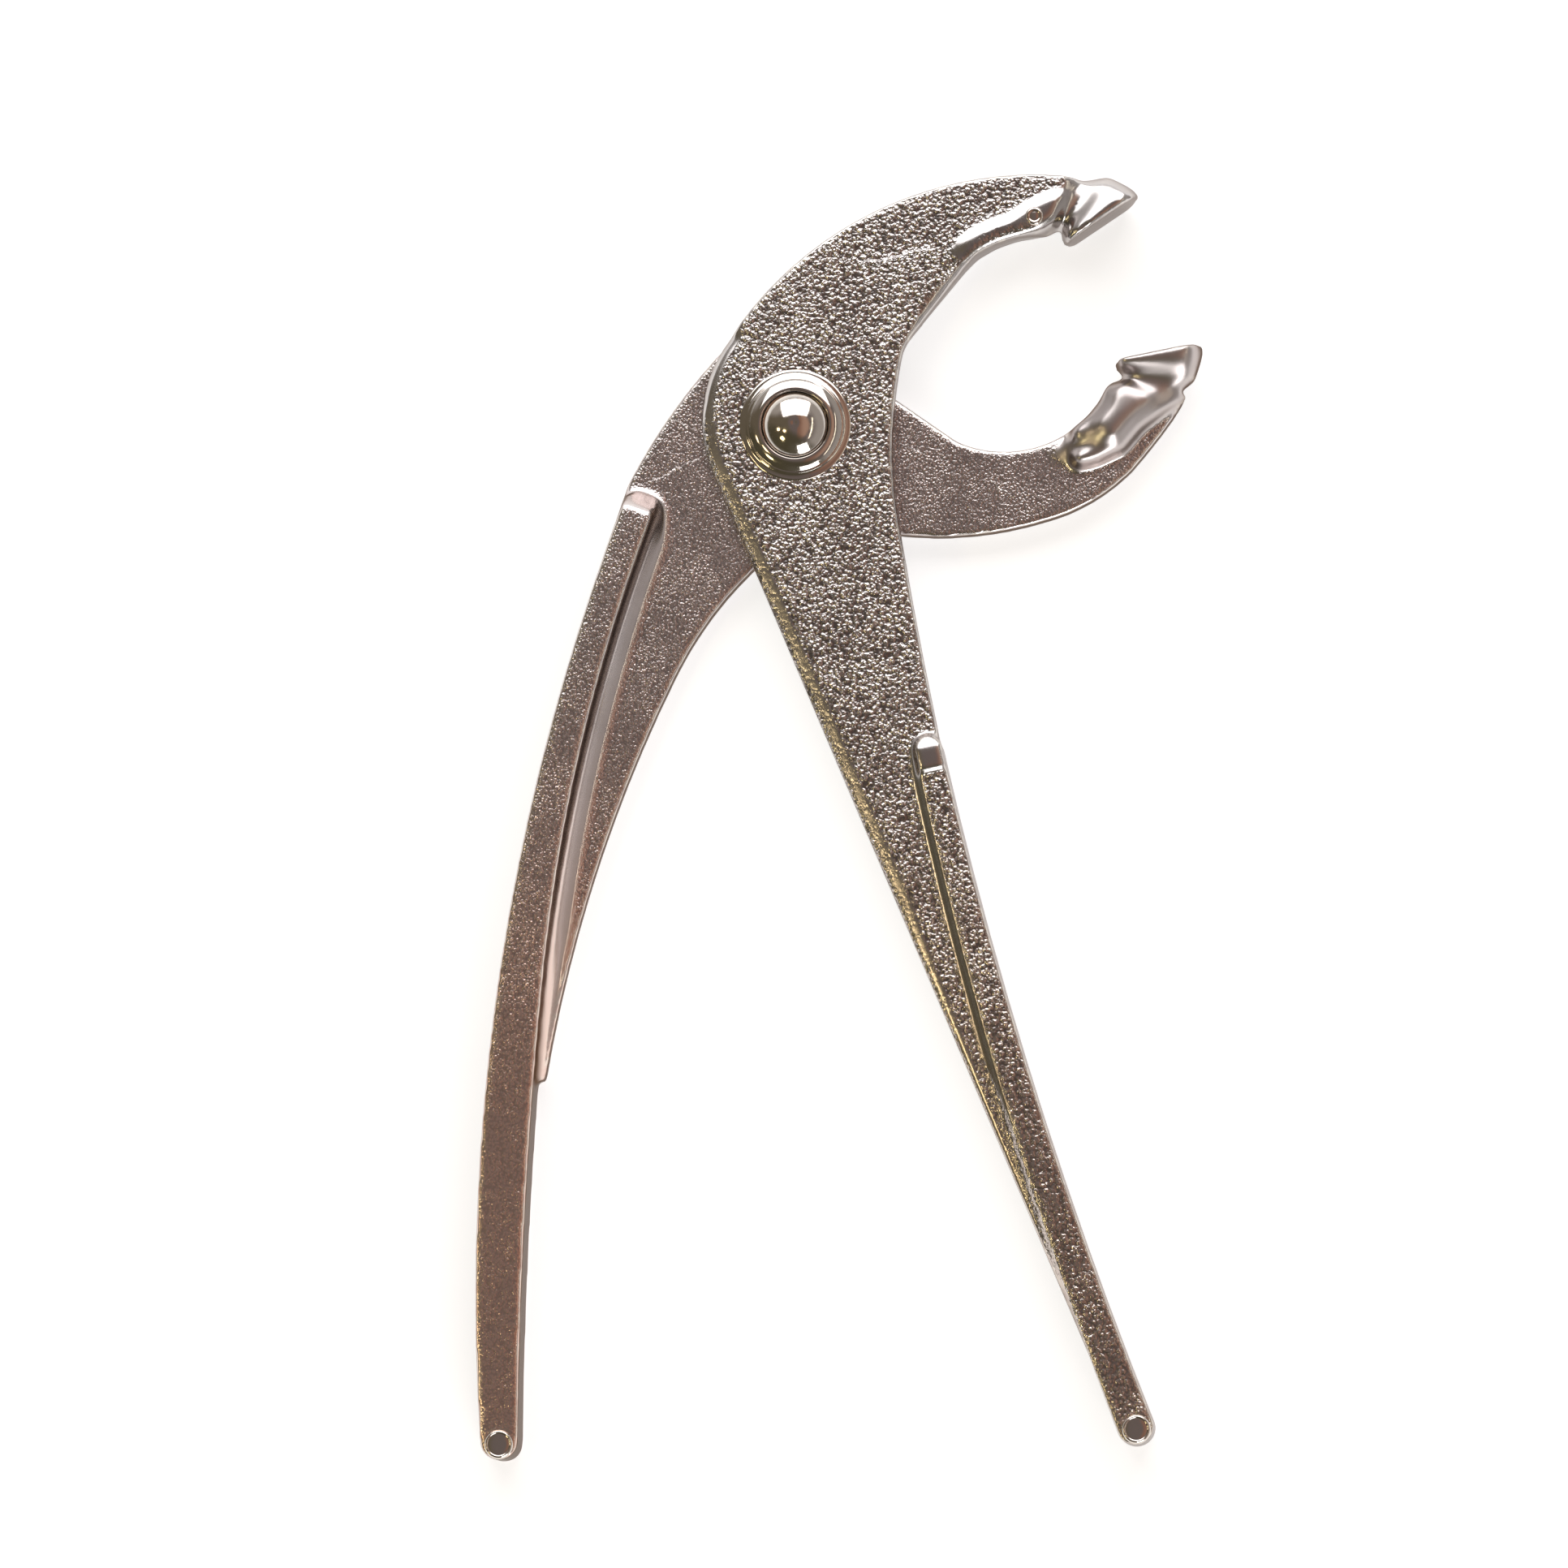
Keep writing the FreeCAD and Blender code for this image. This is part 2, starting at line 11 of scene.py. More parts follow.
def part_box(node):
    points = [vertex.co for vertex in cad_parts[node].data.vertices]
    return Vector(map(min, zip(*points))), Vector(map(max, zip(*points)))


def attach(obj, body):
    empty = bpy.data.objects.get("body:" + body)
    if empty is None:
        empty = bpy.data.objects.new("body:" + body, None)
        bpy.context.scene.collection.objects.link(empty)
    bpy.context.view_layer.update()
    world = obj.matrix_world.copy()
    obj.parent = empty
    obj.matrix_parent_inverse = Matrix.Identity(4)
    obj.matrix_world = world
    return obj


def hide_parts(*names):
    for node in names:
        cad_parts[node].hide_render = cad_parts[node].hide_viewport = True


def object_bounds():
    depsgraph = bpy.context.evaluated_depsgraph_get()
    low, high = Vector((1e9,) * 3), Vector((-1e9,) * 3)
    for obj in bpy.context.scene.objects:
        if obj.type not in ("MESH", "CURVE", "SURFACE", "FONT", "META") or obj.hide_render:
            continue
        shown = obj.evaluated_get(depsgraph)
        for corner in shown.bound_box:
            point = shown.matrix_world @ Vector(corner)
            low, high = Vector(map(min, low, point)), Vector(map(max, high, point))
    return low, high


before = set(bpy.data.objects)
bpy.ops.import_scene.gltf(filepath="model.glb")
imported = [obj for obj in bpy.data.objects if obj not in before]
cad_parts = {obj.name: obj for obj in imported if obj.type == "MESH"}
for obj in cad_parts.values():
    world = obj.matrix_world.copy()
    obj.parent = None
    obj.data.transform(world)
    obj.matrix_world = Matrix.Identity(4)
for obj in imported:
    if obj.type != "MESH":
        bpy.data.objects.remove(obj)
CAD_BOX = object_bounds()

# Lengths are in millimetres in the CAD's own frame: the rivet stands on the origin, the jaws point to +X,
# the handles run down -Y, and the nutcracker lies on z = 0. Angles are in degrees. Two values in one name
# are a span, from where something starts to where it is complete, unless a comment says otherwise.
MM = 0.001
WELD_GAP = 0.001

# The levers: each has a web between two heights and a rail between two more. A rail starts at a place (x, y)
# and first runs at an angle from +X.
RAIL_TOP = 10.0
RAIL_LOW = 0.0
MIDDLE = 5.0
WEB_TOP = {"front_lever": 8.8, "rear_lever": 4.85}
WEB_LOW = {"front_lever": 5.15, "rear_lever": 1.2}
RAIL_START = {"front_lever": (20.5, -50.0), "rear_lever": (-23.9, -11.7)}
RAIL_LEAN = {"front_lever": -78.0, "rear_lever": -110.0}
RAIL_HALF = 6.0

# Casting surfaces.
VOXEL = 0.32
ROUNDING = 7
JAW_ROUNDING = 14
ROUNDING_STEP = 0.5
SHARP_FOLD = 35.0
CREASE_STEP = 0.3
NEAR_PLANE = 0.12
OFF_WEB = 0.5

# The ledge where the rear web stands out past the rail's outer wall: how far out the wall stands, and how
# far out the fill takes its foot, at each station along the rail.
LEDGE_STATIONS = (-2.4, 0.0, 4.0, 8.0, 12.0, 16.0)
LEDGE_WALL = (2.41, 2.41, 2.46, 2.47, 2.43, 2.37)
LEDGE_EDGE = (2.41, 3.2, 3.07, 2.84, 2.56, 2.37)
LEDGE_SLACK = 0.1

# The coves that draw the webs up to the rails and to the rear jaw's bar. A profile is shares of the cove's
# width, then the share of the way up at each.
COVE_WIDTH = {"front_lever": 1.7, "rear_lever": 3.3}
COVE_SHARE = {"front_lever": 0.42, "rear_lever": 0.78}
COVE_PROFILE = {
    "front_lever": ((0.0, 0.15, 0.85, 1.0), (1.0, 0.75, 0.06, 0.0)),
    "rear_lever": ((0.0, 0.15, 0.3, 0.65, 0.85, 1.0), (1.0, 0.5, 0.36, 0.14, 0.04, 0.0)),
}
COVE_START = (-3.0, 6.0)
COVE_NARROW = 0.25
COVE_LEAD = 3.0
COVE_TAIL = 0.4
LEAST_WIDTH = 0.1
STEEP_SETBACK = 2.0
STEEP_END = 56.0
STEEP_DISTANCE = (0.5, 1.2)
STEEP_HEIGHT = (8.6, 9.5)
BAR_COVE = 1.6
BAR_COVE_START = 43.5
BAR_PROFILE = ((0.0, 0.3, 0.6, 0.85, 1.0), (1.0, 0.93, 0.7, 0.3, 0.0))
BAR_SHARE = 0.62

# The jaws: where they begin, and what of them is polished. The polished bar is what stands higher above the
# web's top than the second proud value, or lies lower than the first.
JAW_START = 26.0
JAW_LOW = -30.0
JAW_REACH = 25.0
BAR_REACH = 30.0
BAR_PROUD = (-4.2, 0.2)
PAD_LAG = 0.7
PAD_SHARE = 1.7

# The crown of the front jaw's bar, by its bearing round the middle of the jaw's cavity and its reach from
# the cavity's edge. CROWN_FEET is bearings, then how far the bar reaches at each.
FRONT_CAVITY = (38.2, 11.2)
FRONT_CAVITY_RADIUS = 18.3
CROWN_BEGINS = (68.0, 78.0)
CROWN_ENDS = (118.0, 140.0)
CROWN_FEET = ((75.0, 84.0, 104.0), (10.0, 7.4, 3.9))
CROWN_EDGE_REACHES = (0.0, 0.3, 0.9, 1.5)
CROWN_EDGE_FALLS = (1.0, 0.3, 0.1, 0.0)
CROWN_RISE = 0.8
CROWN_SLOPE = 1.7
CROWN_REACH = 6.6
CROWN_SKIN = (7.9, 8.5)

# The pads: each is a flared head whose flat face lies on a ray from the rivet. Lag is how far a place lies
# behind that face, and reach is how far it is from the rivet along the face. A round end's radius is the
# first of its two values at the face, and grows by the second towards the waist.
FACE_ANGLE = {"front_lever": 33.7, "rear_lever": 11.2}
BEHIND_TURN = {"front_lever": 90.0, "rear_lever": -90.0}
INNER_LAGS = (0.0, 1.2, 1.9, 3.0)
INNER_REACHES = (50.1, 50.1, 50.9, 51.3)
INNER_ROUND = (1.2, 1.8)
OUTER_LAGS = (0.0, 1.2, 5.0, 7.4)
OUTER_REACHES = (63.8, 63.8, 63.4, 60.0)
OUTER_ROUND = (2.8, 3.4)
FLARE_SHARES = (0.0, 0.15, 0.3, 0.45, 0.6, 0.75, 0.9, 1.05, 1.25, 1.6)
FLARE_HEIGHTS = {
    "front_lever": (1.0, 0.985, 0.95, 0.88, 0.77, 0.68, 0.65, 0.67, 0.79, 1.0),
    "rear_lever": (1.0, 0.99, 0.96, 0.87, 0.72, 0.66, 0.65, 0.67, 0.79, 1.0),
}
FLARE_LAG = -1.0
FLARE_REACH = 46.0
ROUND_FADE = (0.9, 1.25)
WIDEST_SHARE = 1.2

# The front web's left margin: its rim lies left of the line x = 4.0 - 0.36 y and below MARGIN_TOP. The
# chamfer's width goes from its first value to its second between the two chamfer places along y.
MARGIN_LINE = (4.0, 0.36)
MARGIN_TOP = 14.0
MARGIN_WIDTH = 3.0
MARGIN_SHARE = 0.35
MARGIN_DROP = 0.5
CHAMFER_PLACES = (-4.0, 4.0)
CHAMFER_WIDTHS = (0.05, 0.8)
CHAMFER_FALL = 1.3

# Where the rails begin: a knob on the front one, a ramp on the rear one.
KNOB_RISE = 0.8
KNOB_START = (-1.6, 0.4)
KNOB_END = (3.2, 4.2)
KNOB_PROUD = 0.9
RAMP = (-2.6, 1.8)
RAMP_LEAD = -4.0

# How grainy, worn and upright the castings' skin counts as, place by place. The margin's band begins over
# the first two of its distances and ends over the last two. The crown's grain ends over a span of reaches,
# counted as negative numbers so that it rises.
FLAT_UPRIGHT = (0.9, 0.99)
FLAT_OFFSET = (0.05, 0.35)
MARGIN_LEVEL = (-3.0, 1.0)
MARGIN_UPRIGHT = 0.5
MARGIN_DEPTH = 1.4
MARGIN_BAND = (0.5, 1.0, 1.9, 2.9)
MARGIN_THIN = 0.72
CROWN_FOOT = (-0.2, 0.2)
CROWN_GRAIN = 0.35
CROWN_GRAIN_STARTS = (0.3, 0.7)
CROWN_GRAIN_ENDS = (-2.4, -1.6)
PAD_GRAIN_REACH = 40.0
PAD_GRAIN = (1.3, 1.7)
HANDLE_FADE = 0.45
HANDLE_SPAN = (60.0, 115.0)
ABOVE_ALL = 20.0
BURIED_TAIL = 5.0
BURIED_DEPTH = 1.0
WEAR_WIDTH = 0.45
WALL_UPRIGHT = (0.1, 0.5)

# The raised ring round the rivet head, as (radius, height) points of its section.
BOSS_REACH = 8.7
BOSS_CLEAR = 0.3
BOSS_SEGMENTS = 128
BOSS_PROFILE = (
    (4.9, 9.3), (5.15, 9.55), (5.25, 9.92), (5.4, 10.0), (5.8, 9.93), (6.2, 9.8), (6.6, 9.6), (6.95, 9.36),
    (7.15, 9.18), (7.25, 9.12), (7.4, 9.14), (7.5, 9.08), (7.65, 8.98), (7.9, 8.89), (8.3, 8.84),
    (8.7, 8.79), (8.75, 8.6),
)

# The round ejector marks on the handles' ends and the small one on the front jaw's bar, as (radius, height)
# points with heights counted from the CAD's own marks. The small one's corners lie within a band of heights.
BUTTON_SEGMENTS = 64
BUTTON_PROFILE = (
    (0.0, -0.06), (0.9, -0.07), (1.6, -0.1), (1.68, -0.12), (1.75, -0.04), (1.85, 0.0), (1.95, -0.02),
    (2.08, -0.12), (2.2, -0.3), (2.27, -0.5), (2.28, -0.8), (0.0, -0.9),
)
BUTTON_FLAT = 0.01
BAR_BUTTON_SEGMENTS = 48
BAR_BUTTON_BAND = (9.62, 9.68)
BAR_BUTTON_PROFILE = (
    (0.0, 0.12), (0.6, 0.1), (0.75, 0.06), (0.85, 0.12), (1.05, 0.18), (1.2, 0.14), (1.38, -0.05),
    (1.45, -0.4), (0.0, -0.5),
)

# The rivet: a dome with a dimple, a rim as (inward, down) points from the dome's foot, a shank, and a tail as
# (radius, height) points.
RIVET_SEGMENTS = 96
DOME_RISE = 2.3
DOME_STEPS = 40
DIMPLE_DEPTH = 0.12
DIMPLE_RADIUS = 0.55
RIVET_RIM = ((0.0, -0.05), (0.02, 0.1), (0.15, 0.25))
SHANK_RADIUS = 3.0
SHANK_DROP = 0.3
RIVET_TAIL = ((SHANK_RADIUS, 1.2), (4.3, 0.5), (4.4, 0.1), (4.2, 0.0), (0.0, 0.0))

# The plating on each lever. A scratch is x, y, its angle, its length and its width.
# How dark the walls and the grain's grooves go is painted shade.
CAST_LOOKS = {
    "front_lever": {
        "colour": (0.6, 0.57, 0.56),
        "handle_tint": (1.0, 0.93, 0.88),
        "edge_tint": (0.6, 0.56, 0.54, 1.0),
        "grain_size": 0.6,
        "grain_depth": 0.15,
        "painted_groove_shade": 0.7,
        "rough": 0.21,
        "painted_wall_shade": 0.6,
        "jaw_rough": 0.2,
        "jaw_dark": 0.0,
        "scratch_height": 1.2,
        "scratches": ((15.5, 26.0, 11.0, 13.0, 0.5), (18.0, -22.0, -30.0, 4.0, 0.2)),
    },
    "rear_lever": {
        "colour": (0.7, 0.64, 0.63),
        "handle_tint": (1.16, 0.98, 0.88),
        "edge_tint": (0.3, 0.24, 0.2, 1.0),
        "grain_size": 0.38,
        "grain_depth": 0.05,
        "painted_groove_shade": 0.3,
        "rough": 0.22,
        "painted_wall_shade": 0.85,
        "jaw_rough": 0.32,
        "jaw_dark": 0.4,
        "scratch_height": 1.5,
        "scratches": (
            (-18.9, -6.3, 25.0, 9.7, 0.14), (-18.4, 1.0, -34.0, 4.0, 0.1), (17.9, -3.3, -20.0, 3.6, 0.12),
            (31.6, -9.7, -40.0, 4.6, 0.12), (-30.2, -55.7, -75.0, 5.0, 0.12), (-9.5, -28.0, 20.0, 4.0, 0.1),
        ),
    },
}
WHITE = (1.0, 1.0, 1.0, 1.0)
# Painted shade: the dark colour that upright walls are mixed towards.
WALL_SHADE_COLOUR = (0.2, 0.165, 0.15, 1.0)
JAW_COLOUR = (0.3, 0.27, 0.26, 1.0)
# Painted shade: the dark colour that the grain's grooves are mixed towards.
GROOVE_SHADE_COLOUR = (0.16, 0.14, 0.135, 1.0)
WORN_COLOUR = (0.85, 0.8, 0.72, 1.0)
BOSS_COLOUR = (0.68, 0.63, 0.58, 1.0)
POLISHED_COLOUR = (0.72, 0.66, 0.6, 1.0)

# The casting's patterns. A spread's four values are a range and what it is mapped onto; two are a range
# that is mapped onto 0 to 1. Swirl and wave are counted in grain sizes. A scratch fades out between two
# shares of its length.
RAGGED_SIZE = 1.3
RAGGED_SHARE = 0.5
COVER_SPREAD = (0.15, 0.75)
PATCH_SIZE = 7.0
PATCH_SPREAD = (0.38, 0.62, 0.75, 1.0)
SWIRL = 1.1
PEBBLE_SMOOTHNESS = 0.45
PEBBLE_DEPTH = -1.4
WAVE = 1.1
DRIFT_SIZE = 9.0
DRIFT_SPREAD = (0.35, 0.7)
DRIFT_SHADE = (0.9, 0.9, 0.9)
HANDLE_TINT_SPREAD = (-30.0, -110.0)
# The pebble distances over which the grain's grooves take their painted shade.
GROOVE_SHADE_RANGE = (0.42, 0.7)
WORN_SPREAD = (0.4, 0.6)
SMOOTH_ROUGH = 0.1
LEAST_ROUGH = 0.21
SCRATCH_WAVE = 1.6
SCRATCH_WANDER = 1.6
SCRATCH_ENDS = (0.5, 0.4)

# The polished parts' scuffs and slow drift.
SCUFF_SIZE = 0.5
SCUFF_DEPTH = 0.004
SCUFF_SPREAD = (0.3, 0.8, 0.06, 0.16)
SHEEN_SIZE = 3.0
SHEEN_SHADE = (0.92, 0.92, 0.92)

# The floor, its radius in metres.
FLOOR_RADIUS = 6.0
FLOOR_SEGMENTS = 96
FLOOR_FIBRE = 6.0
FLOOR_DARK = (0.6, 0.6, 0.6, 1.0)
FLOOR_LIGHT = (0.62, 0.62, 0.62, 1.0)
FLOOR_ROUGH = 0.9
FLOOR_GLOW = 0.66

# The surroundings: their colours, and where each begins and is complete by a direction's east, north or up.
LOW_SKY = (0.4, 0.37, 0.35, 1.0)
LOW_SKY_UP = (0.06, 0.16)
CEILING = (0.172, 0.142, 0.136, 1.0)
CEILING_UP = (0.4, 0.75)
COPPER_DARK = (0.27, 0.15, 0.11, 1.0)
COPPER_LIGHT = (0.45, 0.29, 0.22, 1.0)
COPPER_LIGHTENS_EAST = (0.12, 0.45)
COPPER_UP = (0.74, 0.84)
COPPER_EAST = (0.02, 0.14)
WEST_SIDE = (0.15, 0.125, 0.09, 1.0)
WEST_EAST = (-0.1, -0.4)
WEST_NORTH = (0.6, 0.3)
SOUTH_SIDE = (0.08, 0.07, 0.042, 1.0)
SOUTH_SHARE = 0.9
SOUTH_SLANT = 0.5
SOUTH_NORTH = (-0.2, -0.6)

# The lamps: azimuth and elevation, width and height in metres, radiance and colour.
LAMPS = (
    ("window_back", 92.0, 37.0, 1.3, 0.95, 2.7, (1.0, 1.0, 1.0)),
    ("lamp_front", -72.0, 22.0, 0.45, 0.45, 5.0, (1.0, 1.0, 1.0)),
    ("warm_lamp_1", 205.0, 57.0, 0.1, 0.1, 8.0, (1.0, 0.8, 0.45)),
    ("warm_lamp_2", 222.0, 40.0, 0.16, 0.14, 8.0, (1.0, 0.85, 0.45)),
    ("warm_lamp_3", 190.0, 42.0, 0.1, 0.1, 8.0, (1.0, 0.8, 0.5)),
    ("strip_right", -8.0, 45.0, 1.0, 0.035, 3.5, (1.0, 0.93, 0.75)),
)

# The camera, in metres, its film and focal length in millimetres.
CAMERA_AIM = (-0.00201, -0.05521, 0.005)
CAMERA_LEAN = (0.07, -0.10, 1.0)
CAMERA_AWAY = 1.6
CAMERA_FILM = 36.0
CAMERA_LENS = 238.5


def smooth_step(value, low, high):
    """0 below low, 1 above high and a smooth rise between them."""
    share = np.clip((value - low) / (high - low), 0.0, 1.0)
    return share * share * (3.0 - 2.0 * share)


def heading(angle):
    """The level direction at an angle, as a row of two numbers."""
    turn = math.radians(angle)
    return np.array((math.cos(turn), math.sin(turn)))


def linked(name, data):
    """Puts a mesh, lamp or camera into the scene and returns its object."""
    holder = bpy.data.objects.new(name, data)
    bpy.context.scene.collection.objects.link(holder)
    return holder


# ---------------------------------------------------------------------------------------------------------
# Casting: a lever's surface as arrays
# ---------------------------------------------------------------------------------------------------------

def welded(node):
    """The CAD node's mesh in millimetres, with its split corners joined again."""
    shape = bmesh.new()
    shape.from_mesh(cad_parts[node].data)
    bmesh.ops.scale(shape, vec=(1.0 / MM, 1.0 / MM, 1.0 / MM), verts=shape.verts)
    bmesh.ops.remove_doubles(shape, verts=shape.verts, dist=WELD_GAP)
    return shape


def creases(shape, outward, low, high):
    """Points along the sharp edges that fold outward or inward and lie between two heights."""
    points = []
    sharp = math.radians(SHARP_FOLD)
    for edge in shape.edges:
        if len(edge.link_faces) != 2:
            continue
        fold = edge.calc_face_angle_signed(0.0)
        if abs(fold) < sharp or (fold > 0.0) != outward:
            continue
        start, end = (corner.co for corner in edge.verts)
        if not low <= min(start.z, end.z) <= max(start.z, end.z) <= high:
            continue
        count = max(1, math.ceil((end - start).length / CREASE_STEP))
        points += [start.lerp(end, step / count) for step in range(count + 1)]
    return points


def rims_at(shape, height):
    """Points along the edges that fold outward at a height."""
    return creases(shape, True, height - NEAR_PLANE, height + NEAR_PLANE)


def roots_at(shape, height):
    """Points along the edges that fold inward at a height."""
    return creases(shape, False, height - NEAR_PLANE, height + NEAR_PLANE)


def rows(points):
    """Points as the rows of an array."""
    return np.array([tuple(point) for point in points])


def full_distance(places, points):
    """How far each place is from the nearest point, and infinite where there are no points."""
    if not points:
        return np.full(len(places), np.inf)
    tree = KDTree(len(points))
    for index, point in enumerate(points):
        tree.insert(point, index)
    tree.balance()
    return np.array([tree.find(place)[2] for place in places])


def flat_distance(places, points):
    """How far each place is from the nearest point, seen from above."""
    return full_distance(places * (1.0, 1.0, 0.0), [(point.x, point.y, 0.0) for point in points])


def vectors_of(items, key):
    """One vector of each of a mesh's items, as the rows of an array."""
    flat = np.empty(len(items) * 3)
    items.foreach_get(key, flat)
    return flat.reshape(-1, 3)


def move_points(mesh, places):
    """Gives a mesh's points new places."""
    mesh.vertices.foreach_set("co", places.ravel())
    mesh.update()


def remeshed(mesh):
    """An even skin over a closed mesh, VOXEL from point to point."""
    holder = linked("skin", mesh)
    remesh = holder.modifiers.new("skin", "REMESH")
    remesh.mode = "VOXEL"
    remesh.voxel_size = VOXEL
    remesh.use_smooth_shade = True
    skin = bpy.data.meshes.new_from_object(holder.evaluated_get(bpy.context.evaluated_depsgraph_get()))
    bpy.data.objects.remove(holder)
    return skin


def neighbour_mean(values, pairs, counts):
    """Each point's mean of the values at the points that it is joined to."""
    first, second = pairs
    total = np.bincount(first, values[second], len(values)) + np.bincount(second, values[first], len(values))
    return total / counts


def soften(mesh, rounds, weight=1.0):
    """A skin's points with its edges rounded as a casting's are, fully where weight is 1."""
    places = vectors_of(mesh.vertices, "co")
    ends = np.empty(len(mesh.edges) * 2, dtype=np.int64)
    mesh.edges.foreach_get("vertices", ends)
    pairs = ends.reshape(-1, 2).T
    counts = np.maximum(np.bincount(ends, minlength=len(places)), 1)
    for _ in range(rounds):
        for axis in range(3):
            mean = neighbour_mean(places[:, axis], pairs, counts)
            places[:, axis] += ROUNDING_STEP * weight * (mean - places[:, axis])
    return places


# ---------------------------------------------------------------------------------------------------------
# Casting: the forms that the CAD solid leaves square
# ---------------------------------------------------------------------------------------------------------

def along_rail(places, node):
    """Distance along the rail from its start, and across it."""
    direction = heading(RAIL_LEAN[node])
    offset = places[:, :2] - np.array(RAIL_START[node])
    return offset @ direction, offset @ np.array((-direction[1], direction[0]))


def fill_ledge(places):
    """Moves the rear rail's outer wall out to the web's edge, where the web would stand out as a sliver."""
    web_top, web_low = WEB_TOP["rear_lever"], WEB_LOW["rear_lever"]
    along, across = along_rail(places, "rear_lever")
    wall = np.interp(along, LEDGE_STATIONS, LEDGE_WALL)
    edge = np.interp(along, LEDGE_STATIONS, LEDGE_EDGE)
    edge = wall + (edge - wall) * np.clip((RAIL_TOP - places[:, 2]) / (RAIL_TOP - web_top), 0.0, 1.0)
    out = np.minimum(-across * edge / wall, edge)
    beyond = (places[:, 2] > web_top - NEAR_PLANE) | (places[:, 2] < web_low + NEAR_PLANE)
    near = beyond & (across < 0.0) & (across > -max(LEDGE_EDGE) - LEDGE_SLACK)
    near &= (along > LEDGE_STATIONS[0]) & (along < LEDGE_STATIONS[-1])
    shift = np.where(near, out + across, 0.0)
    direction = heading(RAIL_LEAN["rear_lever"])
    places[:, 0] += shift * direction[1]
    places[:, 1] -= shift * direction[0]


def raise_cove(places, distance, heights, width, profile):
    """Draws the web up to the rail or bar beside it: the profile gives the rise across the cove's width."""
    web, rail = heights
    share = np.interp(distance / width, *profile)
    side = 1.0 if rail > web else -1.0
    beyond = (places[:, 2] - web) * side > -NEAR_PLANE
    short = (rail - places[:, 2]) * side > 0.0
    places[:, 2] += np.where(beyond & short, (rail - places[:, 2]) * share, 0.0)


def jaw_share(node, places):
    """1 over the polished pad and bar of the jaw, 0 over the rest of the lever."""
    reach, lag, share = pad_places(node, places)
    pad = (lag > PAD_LAG) & (share < PAD_SHARE)
    proud = places[:, 2] - WEB_TOP[node]
    bar = (reach > BAR_REACH) & ((proud > BAR_PROUD[1]) | (proud < BAR_PROUD[0]))
    return np.where((reach > JAW_REACH) & (pad | bar), 1.0, 0.0)


def cove_share(node, places, shape):
    """1 on the steep part of the cove beside the rail, 0 over the rest of the lever."""
    start = RAIL_START[node][1] - STEEP_SETBACK
    roots = roots_at(shape, WEB_TOP[node])
    distance = flat_distance(places, [point for point in roots if point.y < start and point.x < STEEP_END])
    above = smooth_step(places[:, 2], WEB_LOW[node] + OFF_WEB, WEB_TOP[node] - OFF_WEB)
    below = 1.0 - smooth_step(places[:, 2], *STEEP_HEIGHT)
    return (1.0 - smooth_step(distance, *STEEP_DISTANCE)) * above * below


def round_over(distance, radius):
    """Share of the full height at a distance inside an edge rounded to a quarter ellipse."""
    inside = np.clip(1.0 - distance / radius, 0.0, 1.0)
    return np.sqrt(1.0 - inside * inside)


def pad_places(node, places):
    """Each place's reach along the pad's face, its lag behind it, and that lag as a share of the waist's."""
    reach = places[:, :2] @ heading(FACE_ANGLE[node])
    lag = places[:, :2] @ heading(FACE_ANGLE[node] + BEHIND_TURN[node])
    across = (reach - INNER_REACHES[-1]) / (OUTER_REACHES[-1] - INNER_REACHES[-1])
    waist = INNER_LAGS[-1] + np.clip(across, 0.0, WIDEST_SHARE) * (OUTER_LAGS[-1] - INNER_LAGS[-1])
    return reach, lag, lag / waist


def flare_pad(node, places):
    """Turns the squared pad into a flared head: a domed back, a waist behind it and round ends."""
    reach, lag, share = pad_places(node, places)
    inner = np.interp(lag, INNER_LAGS, INNER_REACHES)
    outer = np.interp(lag, OUTER_LAGS, OUTER_REACHES)
    height = np.interp(share, FLARE_SHARES, FLARE_HEIGHTS[node])
    ends = round_over(outer - reach, OUTER_ROUND[0] + OUTER_ROUND[1] * np.clip(share, 0.0, 1.0))
    ends *= round_over(reach - inner, INNER_ROUND[0] + INNER_ROUND[1] * np.clip(share, 0.0, 1.0))
    ends += (1.0 - ends) * smooth_step(share, *ROUND_FADE)
    inside = (lag > FLARE_LAG) & (reach > FLARE_REACH) & (share < FLARE_SHARES[-1])
    places[:, 2] = np.where(inside, MIDDLE + (places[:, 2] - MIDDLE) * height * ends, places[:, 2])


def left_rims(rims):
    """The part of the front web's rim that runs down its left side."""
    offset, slope = MARGIN_LINE
    return [point for point in rims if point.x < offset - slope * point.y and point.y < MARGIN_TOP]


def margin_places(places, shape):
    """Each place's distance inside the front web's left rim, and the margin's width there."""
    distance = flat_distance(places, left_rims(rims_at(shape, WEB_TOP["front_lever"])))
    roots = roots_at(shape, WEB_TOP["front_lever"])
    rail_roots = [point for point in roots if point.y < RAIL_START["front_lever"][1]]
    room = distance + flat_distance(places, rail_roots)
    return distance, np.clip(MARGIN_SHARE * room, LEAST_WIDTH, MARGIN_WIDTH)


def bevel_margin(places, shape):
    """Lets the front web's left margin fall away gently, then steeply at its edge."""
    web_top, web_low = WEB_TOP["front_lever"], WEB_LOW["front_lever"]
    distance, width = margin_places(places, shape)
    chamfer = np.interp(places[:, 1], CHAMFER_PLACES, CHAMFER_WIDTHS)
    fall = MARGIN_DROP * width / MARGIN_WIDTH * (1.0 - smooth_step(distance / width, 0.0, 1.0))
    fall += CHAMFER_FALL * chamfer * np.clip(1.0 - distance / chamfer, 0.0, 1.0)
    depth = smooth_step(places[:, 2], web_low + OFF_WEB, web_top)
    places[:, 2] -= fall * depth * (places[:, 2] < web_top + NEAR_PLANE)


